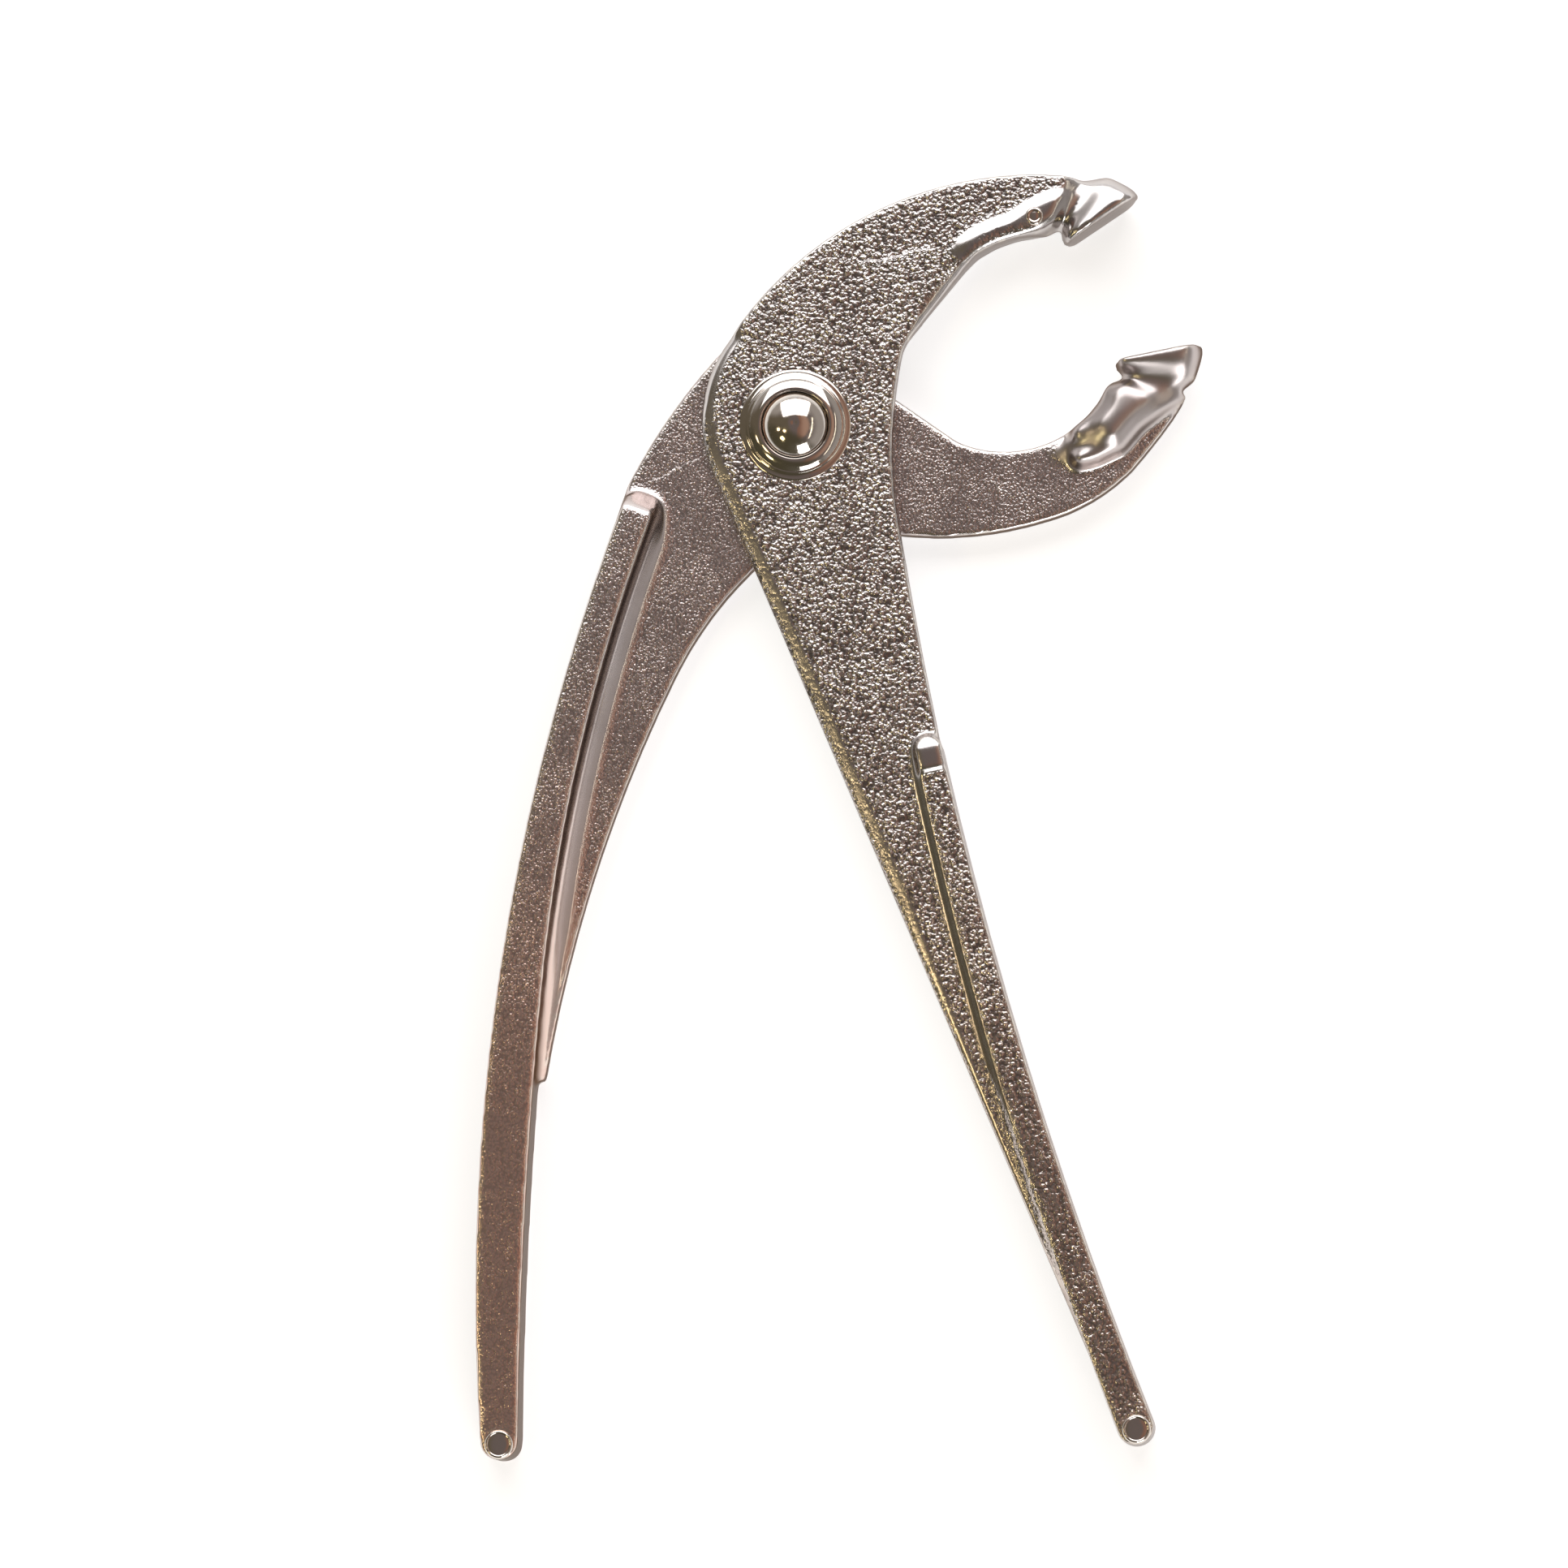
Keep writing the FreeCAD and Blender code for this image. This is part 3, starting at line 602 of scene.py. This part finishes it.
def on_front_bar(places):
    """Each place's reach in from the front cavity's edge, the bar's foot there, and 1 where the bar is."""
    offset = places[:, :2] - np.array(FRONT_CAVITY)
    inside = np.hypot(offset[:, 0], offset[:, 1]) - FRONT_CAVITY_RADIUS
    bearing = np.degrees(np.arctan2(offset[:, 1], offset[:, 0]))
    foot = np.interp(bearing, *CROWN_FEET)
    along = smooth_step(bearing, *CROWN_BEGINS) * (1.0 - smooth_step(bearing, *CROWN_ENDS))
    return inside, foot, along


def crown_front_bar(places):
    """Gives the front jaw's bar its crown near the cavity and its one slope down to the web."""
    inside, foot, along = on_front_bar(places)
    height = WEB_TOP["front_lever"] + CROWN_RISE * np.clip((foot - inside) / CROWN_SLOPE, 0.0, 1.0)
    height -= np.interp(inside, CROWN_EDGE_REACHES, CROWN_EDGE_FALLS)
    along = np.where(inside < CROWN_REACH, along, 0.0)
    along *= smooth_step(places[:, 2], *CROWN_SKIN)
    places[:, 2] += (height - places[:, 2]) * along


def raise_knob(places):
    """Raises the knob where the front rail begins."""
    along, across = along_rail(places, "front_lever")
    proud = places[:, 2] - WEB_TOP["front_lever"]
    fall = np.clip((KNOB_END[1] - along) / (KNOB_END[1] - KNOB_END[0]), 0.0, 1.0)
    near = (np.abs(across) < RAIL_HALF) & (proud > KNOB_PROUD)
    places[:, 2] += np.where(near, KNOB_RISE * (smooth_step(along, *KNOB_START) * fall), 0.0)


def lower_ramp(places):
    """Lowers the start of the rear rail to a ramp up from its web."""
    along, across = along_rail(places, "rear_lever")
    proud = np.clip(places[:, 2] - WEB_TOP["rear_lever"], 0.0, None)
    near = (np.abs(across) < RAIL_HALF) & (along > RAMP_LEAD) & (along < RAMP[1])
    places[:, 2] -= np.where(near, proud * (1.0 - smooth_step(along, *RAMP)), 0.0)


def rail_roots_of(node, roots):
    """The roots that a cove follows: those beside the rail, and on the rear lever its inner side's only."""
    found = [point for point in roots if point.y < RAIL_START[node][1] + COVE_LEAD]
    found = [point for point in found if point.x < JAW_START or point.y < JAW_LOW]
    if node == "front_lever":
        return found
    along, across = along_rail(rows(found), node)
    inner = (across > 0.0) | (along < 0.0)
    return [point for point, kept in zip(found, inner) if kept]


def shape_coves(node, places, shape, web, rail):
    """Draws one side's web up to the rail, and up to the rear jaw's bar."""
    roots = roots_at(shape, web)
    rail_roots = rail_roots_of(node, roots)
    end = min(point.y for point in rail_roots)
    rims = [point for point in rims_at(shape, web) if point.y > end + COVE_TAIL]
    distance = flat_distance(places, rail_roots)
    along = along_rail(places, node)[0]
    width = COVE_WIDTH[node] * (COVE_NARROW + (1.0 - COVE_NARROW) * smooth_step(along, *COVE_START))
    width = np.clip(COVE_SHARE[node] * (distance + flat_distance(places, rims)), LEAST_WIDTH, width)
    raise_cove(places, distance, (web, rail), width, COVE_PROFILE[node])
    if node == "rear_lever":
        distance = flat_distance(places, [point for point in roots if point.x > BAR_COVE_START])
        raise_cove(places, distance, (web, MIDDLE + BAR_SHARE * (rail - MIDDLE)), BAR_COVE, BAR_PROFILE)


def shape_lever(node, places, shape):
    """Moves a lever's points into its ledge or margin and crown, its coves, its rail's start and its pad."""
    if node == "rear_lever":
        fill_ledge(places)
    else:
        bevel_margin(places, shape)
        boss = np.hypot(places[:, 0], places[:, 1]) < BOSS_REACH + BOSS_CLEAR
        places[:, 2] = np.where(boss, np.minimum(places[:, 2], WEB_TOP[node]), places[:, 2])
        crown_front_bar(places)
    places[:, 2] = np.minimum(places[:, 2], RAIL_TOP)
    shape_coves(node, places, shape, WEB_TOP[node], RAIL_TOP)
    shape_coves(node, places, shape, WEB_LOW[node], RAIL_LOW)
    if node == "rear_lever":
        lower_ramp(places)
    else:
        raise_knob(places)
    flare_pad(node, places)


def front_grain(grain, upright, places, shape):
    """The front lever's grain, carried over its margin, thinned in a band there and on the jaw's crown."""
    distance, width = margin_places(places, shape)
    low = smooth_step(-places[:, 1], *MARGIN_LEVEL)
    margin = (distance < MARGIN_WIDTH) & (upright > MARGIN_UPRIGHT)
    margin &= places[:, 2] > WEB_TOP["front_lever"] - MARGIN_DEPTH
    grain = np.where(margin, np.maximum(grain, low), grain)
    inward = distance * MARGIN_WIDTH / width
    band = smooth_step(inward, *MARGIN_BAND[:2]) * (1.0 - smooth_step(inward, *MARGIN_BAND[2:]))
    grain *= 1.0 - MARGIN_THIN * band * low
    inside, foot, along = on_front_bar(places)
    grain *= 1.0 - smooth_step(foot - inside, *CROWN_FOOT) * along
    crown = CROWN_GRAIN * along * smooth_step(inside, *CROWN_GRAIN_STARTS)
    return grain + crown * smooth_step(-inside, *CROWN_GRAIN_ENDS)


def worn_rims(node, shape):
    """The outward edges that wear bright, without those that the rear lever's ledge fill has buried."""
    rims = creases(shape, True, WEB_LOW[node] + OFF_WEB, ABOVE_ALL)
    if node == "front_lever":
        return rims
    along, across = along_rail(rows(rims), node)
    ledge = (across < 0.0) & (along > LEDGE_STATIONS[0]) & (along < LEDGE_STATIONS[-1] + BURIED_TAIL)
    bare = WEB_TOP[node] + BURIED_DEPTH
    return [point for point, buried in zip(rims, ledge) if not buried or point.z > bare]


def paint_casting(node, skin, places, shape):
    """Keeps, at each point, how grainy the skin is, how worn its edges are, how upright, and how satin."""
    upright = np.abs(vectors_of(skin.vertex_normals, "vector")[:, 2])
    flats = (WEB_TOP[node], WEB_LOW[node], RAIL_TOP, RAIL_LOW)
    off_plane = np.min([np.abs(places[:, 2] - height) for height in flats], axis=0)
    grain = smooth_step(upright, *FLAT_UPRIGHT) * (1.0 - smooth_step(off_plane, *FLAT_OFFSET))
    if node == "front_lever":
        grain = front_grain(grain, upright, places, shape)
    reach, _, share = pad_places(node, places)
    grain *= np.where(reach > PAD_GRAIN_REACH, smooth_step(share, *PAD_GRAIN), 1.0)
    grain *= 1.0 - HANDLE_FADE * smooth_step(-places[:, 1], *HANDLE_SPAN)
    keep_value(skin, "grain", grain)
    keep_value(skin, "edge", np.exp(-full_distance(places, worn_rims(node, shape)) / WEAR_WIDTH))
    # How upright each point is, which sets the painted shade on the walls.
    keep_value(skin, "wall", 1.0 - smooth_step(upright, *WALL_UPRIGHT))
    keep_value(skin, "satin", jaw_share(node, places))


def keep_value(mesh, name, values):
    """Stores one number at each point of a mesh, for its material to read."""
    attribute = mesh.attributes.new(name, "FLOAT", "POINT")
    attribute.data.foreach_set("value", values)


def cast_lever(node):
    """A lever as one casting: an even skin with its coves, and edges rounded all over."""
    shape = welded(node)
    mesh = bpy.data.meshes.new(node + "_cast")
    shape.to_mesh(mesh)
    skin = remeshed(mesh)
    places = vectors_of(skin.vertices, "co")
    shape_lever(node, places, shape)
    move_points(skin, places)
    skin = remeshed(skin)
    places = soften(skin, ROUNDING)
    move_points(skin, places)
    places = soften(skin, JAW_ROUNDING, np.maximum(jaw_share(node, places), cove_share(node, places, shape)))
    move_points(skin, places)
    paint_casting(node, skin, places, shape)
    move_points(skin, places * MM)
    shape.free()
    return linked(node + "_cast", skin)


# ---------------------------------------------------------------------------------------------------------
# Rivet, boss ring and ejector marks
# ---------------------------------------------------------------------------------------------------------

def ring_of(shape, radius, height, segments):
    """A ring of corners round the rivet's axis."""
    turns = [2.0 * math.pi * step / segments for step in range(segments)]
    corners = [(radius * math.cos(turn) * MM, radius * math.sin(turn) * MM, height * MM) for turn in turns]
    return [shape.verts.new(corner) for corner in corners]


def smooth_piece(name, shape):
    """Makes a finished shape a smooth piece of the scene."""
    mesh = bpy.data.meshes.new(name)
    shape.to_mesh(mesh)
    shape.free()
    mesh.shade_smooth()
    return linked(name, mesh)


def turned(name, profile, segments):
    """A solid turned about the rivet's axis from (radius, height) points, first and last on the axis."""
    shape = bmesh.new()
    rings = [ring_of(shape, radius, height, segments) for radius, height in profile[1:-1]]
    first = shape.verts.new((0.0, 0.0, profile[0][1] * MM))
    last = shape.verts.new((0.0, 0.0, profile[-1][1] * MM))
    for step in range(segments):
        after = (step + 1) % segments
        shape.faces.new((first, rings[0][after], rings[0][step]))
        shape.faces.new((last, rings[-1][step], rings[-1][after]))
        for low, high in zip(rings, rings[1:]):
            shape.faces.new((low[step], low[after], high[after], high[step]))
    return smooth_piece(name, shape)


def boss_ring():
    """The raised ring round the rivet head: a smooth shoulder, a fine crease and a soft foot."""
    shape = bmesh.new()
    rings = [ring_of(shape, radius, height, BOSS_SEGMENTS) for radius, height in BOSS_PROFILE]
    for inner, outer in zip(rings, rings[1:] + rings[:1]):
        for step in range(BOSS_SEGMENTS):
            after = (step + 1) % BOSS_SEGMENTS
            shape.faces.new((inner[step], outer[step], outer[after], inner[after]))
    return smooth_piece("boss_ring", shape)


def cad_corners(node):
    """A CAD node's corners in millimetres."""
    return [corner.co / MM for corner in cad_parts[node].data.vertices]


def button_on(name, corners, profile, segments):
    """An ejector mark whose heights are counted from the middle of the CAD's corners round it."""
    spot = sum(corners, Vector()) / len(corners)
    button = turned(name, [(radius, spot.z + height) for radius, height in profile], segments)
    button.data.transform(Matrix.Translation((spot.x * MM, spot.y * MM, 0.0)))
    return button


def bar_button():
    """The small ejector mark on the front jaw's bar."""
    low, high = BAR_BUTTON_BAND
    corners = [corner for corner in cad_corners("front_lever") if low < corner.z < high]
    corners = [corner for corner in corners if corner.x > JAW_START]
    return button_on("front_lever_bar_button", corners, BAR_BUTTON_PROFILE, BAR_BUTTON_SEGMENTS)


def end_button(node):
    """The round ejector mark on a handle's end: a flat disc in a bright bevelled ring."""
    corners = cad_corners(node)
    top = max(corner.z for corner in corners)
    highest = [corner for corner in corners if corner.z > top - BUTTON_FLAT]
    return button_on(node + "_button", highest, BUTTON_PROFILE, BUTTON_SEGMENTS)


def rivet_profile():
    """The rivet from its dome's dimple down to its flush tail."""
    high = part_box("rivet")[1]
    top = high.z / MM
    radius = high.x / MM
    ball = (radius ** 2 + DOME_RISE ** 2) / (2.0 * DOME_RISE)
    spread = math.asin(radius / ball)
    points = [(0.0, top - DIMPLE_DEPTH)]
    for step in range(1, DOME_STEPS):
        angle = spread * step / DOME_STEPS
        reach = ball * math.sin(angle)
        dimple = DIMPLE_DEPTH * math.exp(-(reach / DIMPLE_RADIUS) ** 2)
        points.append((reach, top - ball * (1.0 - math.cos(angle)) - dimple))
    points += [(radius - inset, top - DOME_RISE - drop) for inset, drop in RIVET_RIM]
    points.append((SHANK_RADIUS, top - DOME_RISE - SHANK_DROP))
    return points + list(RIVET_TAIL)


# ---------------------------------------------------------------------------------------------------------
# Materials
# ---------------------------------------------------------------------------------------------------------

class Shader:
    """Short calls for the nodes of one new material or world."""

    def __init__(self, owner, surface):
        owner.use_nodes = True
        self.owner = owner
        self.tree = owner.node_tree
        self.surface = self.tree.nodes[surface].inputs

    def node(self, kind, inputs=None, **settings):
        """Adds a node, its settings and its inputs: a number, a colour or another node's output."""
        node = self.tree.nodes.new(kind)
        for key, value in settings.items():
            setattr(node, key, value)
        for key, value in (inputs or {}).items():
            self.put(node.inputs[key], value)
        return node

    def put(self, socket, value):
        """Links an output to a socket, or sets the socket's own value."""
        if isinstance(value, bpy.types.NodeSocket):
            self.tree.links.new(value, socket)
        else:
            socket.default_value = value

    def finish(self, looks):
        """Sets the surface's inputs by their names and returns the owner."""
        for name, value in looks.items():
            self.put(self.surface[name], value)
        return self.owner

    def math(self, operation, first, second=0.0, third=0.0):
        """A Math node's result."""
        return self.node("ShaderNodeMath", {0: first, 1: second, 2: third}, operation=operation).outputs[0]

    def places(self):
        """The piece's own coordinates in millimetres."""
        source = self.node("ShaderNodeTexCoord").outputs["Object"]
        scaled = self.node("ShaderNodeVectorMath", {0: source, "Scale": 1.0 / MM}, operation="SCALE")
        return scaled.outputs[0]

    def noise(self, places, size, detail=2.0, roughness=0.5):
        """Noise from 0 to 1 whose blots are about size millimetres across."""
        settings = {"Vector": places, "Scale": 1.0 / size, "Detail": detail, "Roughness": roughness}
        return self.node("ShaderNodeTexNoise", settings).outputs["Fac"]

    def spread(self, value, low, high, start=0.0, end=1.0):
        """Maps low..high onto start..end, smoothly and without going past either."""
        inputs = {"Value": value, "From Min": low, "From Max": high, "To Min": start, "To Max": end}
        return self.node("ShaderNodeMapRange", inputs, interpolation_type="SMOOTHSTEP").outputs[0]

    def mix(self, share, first, second):
        """A colour from first to second."""
        return self.node("ShaderNodeMix", {0: share, 6: first, 7: second}, data_type="RGBA").outputs[2]

    def bump(self, distance, height):
        """The surface's slope under a relief of some millimetres."""
        inputs = {"Strength": 1.0, "Distance": distance * MM, "Height": height}
        return self.node("ShaderNodeBump", inputs).outputs["Normal"]

    def value(self, name):
        """A number that the mesh keeps at each point."""
        return self.node("ShaderNodeAttribute", attribute_name=name).outputs["Fac"]

    def axes(self, vector):
        """A vector's three parts."""
        return self.node("ShaderNodeSeparateXYZ", {0: vector}).outputs


def metal_shader(name):
    """The shader of a new material."""
    return Shader(bpy.data.materials.new(name), "Principled BSDF")


def tinted(colour, share):
    """A colour with each part multiplied by its own share."""
    return tuple(part * scale for part, scale in zip(colour, share)) + (1.0,)


def scratches(shader, places, marks):
    """Height of the fine raised burrs along a few handling scratches, from 0 to 1."""
    wobble = shader.noise(places, SCRATCH_WAVE, detail=3.0)
    split = shader.axes(places)
    total = 0.0
    for x, y, angle, length, width in marks:
        cosine, sine = math.cos(math.radians(angle)), math.sin(math.radians(angle))
        along = shader.math("MULTIPLY_ADD", split["X"], cosine, -x * cosine - y * sine)
        along = shader.math("MULTIPLY_ADD", split["Y"], sine, along)
        across = shader.math("MULTIPLY_ADD", split["X"], -sine, x * sine - y * cosine)
        across = shader.math("MULTIPLY_ADD", split["Y"], cosine, across)
        wander = shader.math("MULTIPLY_ADD", wobble, SCRATCH_WANDER, -0.5 * SCRATCH_WANDER)
        across = shader.math("ADD", across, wander)
        line = shader.spread(shader.math("ABSOLUTE", across), 0.0, width, 1.0, 0.0)
        outer, inner = SCRATCH_ENDS
        ends = shader.spread(shader.math("ABSOLUTE", along), outer * length, inner * length)
        total = shader.math("MAXIMUM", shader.math("MULTIPLY", line, ends), total)
    return total


def orange_peel(shader, places, size, cover):
    """The plating's grain: its relief, patchy and only where it covers the skin, and its pebbles."""
    patches = shader.spread(shader.noise(places, PATCH_SIZE), *PATCH_SPREAD)
    swirl = shader.node("ShaderNodeTexNoise", {"Vector": places, "Scale": 1.0 / size, "Detail": 1.0})
    moves = {0: swirl.outputs["Color"], 1: (SWIRL * size,) * 3, 2: places}
    bent = shader.node("ShaderNodeVectorMath", moves, operation="MULTIPLY_ADD").outputs[0]
    cells = {"Vector": bent, "Scale": 1.0 / size, "Smoothness": PEBBLE_SMOOTHNESS}
    pebbles = shader.node("ShaderNodeTexVoronoi", cells, feature="SMOOTH_F1").outputs["Distance"]
    waves = shader.noise(places, WAVE * size, detail=1.0)
    relief = shader.math("MULTIPLY_ADD", pebbles, PEBBLE_DEPTH, waves)
    return shader.math("MULTIPLY", relief, shader.math("MULTIPLY", cover, patches)), pebbles


def cast_tone(shader, places, look, cover, pebbles, ragged):
    """Colour: slow drift, handle tint, painted shade on walls and grooves, dark jaw, bright wear."""
    colour = look["colour"]
    drift = shader.spread(shader.noise(places, DRIFT_SIZE, detail=3.0), *DRIFT_SPREAD)
    tone = shader.mix(drift, colour + (1.0,), tinted(colour, DRIFT_SHADE))
    down = shader.axes(places)["Y"]
    tone = shader.mix(shader.spread(down, *HANDLE_TINT_SPREAD), tone, tinted(colour, look["handle_tint"]))
    # Painted shade: upright walls are darkened towards a dark colour.
    wall_shade_share = shader.math("MULTIPLY", shader.value("wall"), look["painted_wall_shade"])
    tone = shader.mix(wall_shade_share, tone, WALL_SHADE_COLOUR)
    jaw = shader.math("MULTIPLY", shader.value("satin"), look["jaw_dark"])
    tone = shader.mix(jaw, tone, JAW_COLOUR)
    # Painted shade: the grain's grooves, far from a pebble's middle, are darkened where the grain covers.
    groove_shade_share = shader.spread(pebbles, *GROOVE_SHADE_RANGE, 0.0, look["painted_groove_shade"])
    tone = shader.mix(shader.math("MULTIPLY", groove_shade_share, cover), tone, GROOVE_SHADE_COLOUR)
    worn = shader.math("MULTIPLY", shader.value("edge"), shader.spread(ragged, *WORN_SPREAD))
    return shader.mix(worn, tone, WORN_COLOUR)


def cast_metal(node):
    """Plated casting: orange-peel grain on flats, smooth coves and sides, painted shade, worn edges,
    scratches.
    """
    look = CAST_LOOKS[node]
    shader = metal_shader(node + "_nickel")
    places = shader.places()
    ragged = shader.noise(places, RAGGED_SIZE)
    level = shader.math("SUBTRACT", shader.value("grain"), 0.5 * RAGGED_SHARE)
    cover = shader.spread(shader.math("MULTIPLY_ADD", ragged, RAGGED_SHARE, level), *COVER_SPREAD)
    relief, pebbles = orange_peel(shader, places, look["grain_size"], cover)
    burrs = scratches(shader, places, look["scratches"])
    relief = shader.math("MULTIPLY_ADD", burrs, look["scratch_height"], relief)
    tone = cast_tone(shader, places, look, cover, pebbles, ragged)
    polish = shader.spread(shader.value("satin"), 0.0, 1.0, LEAST_ROUGH, look["jaw_rough"])
    grained = shader.spread(cover, 0.0, 1.0, SMOOTH_ROUGH, look["rough"])
    return shader.finish({
        "Base Color": tone,
        "Metallic": 1.0,
        "Specular Tint": look["edge_tint"],
        "Roughness": shader.math("MAXIMUM", grained, polish),
        "Normal": shader.bump(look["grain_depth"], relief),
    })


def polished_metal(name, colour):
    """Smooth plating with tiny scuffs and a slow drift in its tone."""
    shader = metal_shader(name)
    places = shader.places()
    scuffs = shader.noise(places, SCUFF_SIZE, detail=4.0, roughness=0.6)
    drift = shader.noise(places, SHEEN_SIZE)
    return shader.finish({
        "Base Color": shader.mix(drift, colour, tinted(colour, SHEEN_SHADE)),
        "Metallic": 1.0,
        "Roughness": shader.spread(scuffs, *SCUFF_SPREAD),
        "Normal": shader.bump(SCUFF_DEPTH, scuffs),
    })


# ---------------------------------------------------------------------------------------------------------
# Studio
# ---------------------------------------------------------------------------------------------------------

def seen_directly(shader):
    """1 for rays that show the floor to the camera, in a reflection or through glass."""
    rays = shader.node("ShaderNodeLightPath").outputs
    either = shader.math("MAXIMUM", rays["Is Camera Ray"], rays["Is Glossy Ray"])
    return shader.math("MAXIMUM", either, rays["Is Transmission Ray"])


def floor_material():
    """Pale matt floor that reads white and keeps the shadow on it."""
    shader = metal_shader("floor_paper")
    fibres = shader.noise(shader.places(), FLOOR_FIBRE, detail=3.0)
    return shader.finish({
        "Base Color": shader.mix(fibres, FLOOR_DARK, FLOOR_LIGHT),
        "Roughness": FLOOR_ROUGH,
        "Specular IOR Level": 0.0,
        "Emission Color": WHITE,
        "Emission Strength": shader.math("MULTIPLY", seen_directly(shader), FLOOR_GLOW),
    })


def make_floor():
    """A wide disc that the nutcracker lies on."""
    shape = bmesh.new()
    bmesh.ops.create_circle(shape, cap_ends=True, segments=FLOOR_SEGMENTS, radius=FLOOR_RADIUS)
    mesh = bpy.data.meshes.new("floor")
    shape.to_mesh(mesh)
    shape.free()
    mesh.materials.append(floor_material())
    floor = linked("floor", mesh)
    floor.location.z = CAD_BOX[0].z


def make_world():
    """Surroundings: white round the horizon, a dim warm ceiling, copper in the east, dark west and south."""
    bpy.context.scene.world = bpy.data.worlds.new("studio")
    shader = Shader(bpy.context.scene.world, "Background")
    east, north, up = shader.axes(shader.node("ShaderNodeTexCoord").outputs["Generated"])
    overhead = shader.spread(up, *CEILING_UP)
    raised = shader.spread(up, *LOW_SKY_UP)
    colour = shader.mix(overhead, LOW_SKY, CEILING)
    copper = shader.mix(shader.spread(east, *COPPER_LIGHTENS_EAST), COPPER_DARK, COPPER_LIGHT)
    east_band = shader.math("MULTIPLY", shader.spread(up, *COPPER_UP), shader.spread(east, *COPPER_EAST))
    colour = shader.mix(east_band, colour, copper)
    west = shader.math("MULTIPLY", shader.spread(east, *WEST_EAST), shader.spread(north, *WEST_NORTH))
    colour = shader.mix(west, colour, WEST_SIDE)
    south = shader.spread(shader.math("MULTIPLY_ADD", east, SOUTH_SLANT, north), *SOUTH_NORTH)
    colour = shader.mix(shader.math("MULTIPLY", south, SOUTH_SHARE), colour, SOUTH_SIDE)
    shader.finish({"Color": shader.mix(raised, WHITE, colour), "Strength": 1.0})


def add_softbox(name, azimuth, elevation, width, height, radiance, colour):
    """A soft lamp a metre from the rivet, turned to it; radiance 1 shows in a mirror as white."""
    lamp = bpy.data.lights.new(name, "AREA")
    lamp.shape = "RECTANGLE"
    lamp.size = width
    lamp.size_y = height
    lamp.energy = radiance * math.pi * width * height
    lamp.color = colour
    turn, rise = math.radians(azimuth), math.radians(elevation)
    away = Vector((math.cos(turn) * math.cos(rise), math.sin(turn) * math.cos(rise), math.sin(rise)))
    holder = linked(name, lamp)
    holder.location = away
    holder.rotation_euler = away.to_track_quat("Z", "Y").to_euler()


def make_camera():
    """Looks down on the nutcracker from a little to the right of its handles."""
    camera = bpy.data.cameras.new("camera")
    camera.sensor_width = CAMERA_FILM
    camera.lens = CAMERA_LENS
    away = Vector(CAMERA_LEAN).normalized() * CAMERA_AWAY
    across = Vector((0.0, 1.0, 0.0)).cross(away).normalized()
    turn = Matrix((across, away.cross(across).normalized(), away.normalized())).transposed()
    holder = linked("camera", camera)
    holder.location = Vector(CAMERA_AIM) + away
    holder.rotation_euler = turn.to_euler()
    bpy.context.scene.camera = holder


front = cast_lever("front_lever")
front.data.materials.append(cast_metal("front_lever"))
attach(front, "front_arm")
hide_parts("front_lever")

rear = cast_lever("rear_lever")
rear.data.materials.append(cast_metal("rear_lever"))
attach(rear, "rear_arm")
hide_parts("rear_lever")

boss = boss_ring()
boss.data.materials.append(polished_metal("boss_nickel", BOSS_COLOUR))
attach(boss, "front_arm")

mark = bar_button()
mark.data.materials.append(polished_metal("bar_button_nickel", POLISHED_COLOUR))
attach(mark, "front_arm")

for node, body, slot in (
    ("front_lever", "front_arm", "cast_nickel"),
    ("rear_lever", "rear_arm", "cast_nickel_dark"),
):
    button = end_button(node)
    button.data.materials.append(polished_metal(node + "_button_nickel", POLISHED_COLOUR))
    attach(button, body)

rivet = turned("rivet_turned", rivet_profile(), RIVET_SEGMENTS)
rivet.data.materials.append(polished_metal("rivet_nickel", POLISHED_COLOUR))
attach(rivet, "rear_arm")
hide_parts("rivet")

make_floor()
make_world()
for lamp in LAMPS:
    add_softbox(*lamp)
make_camera()
bpy.context.scene.view_settings.view_transform = "Standard"
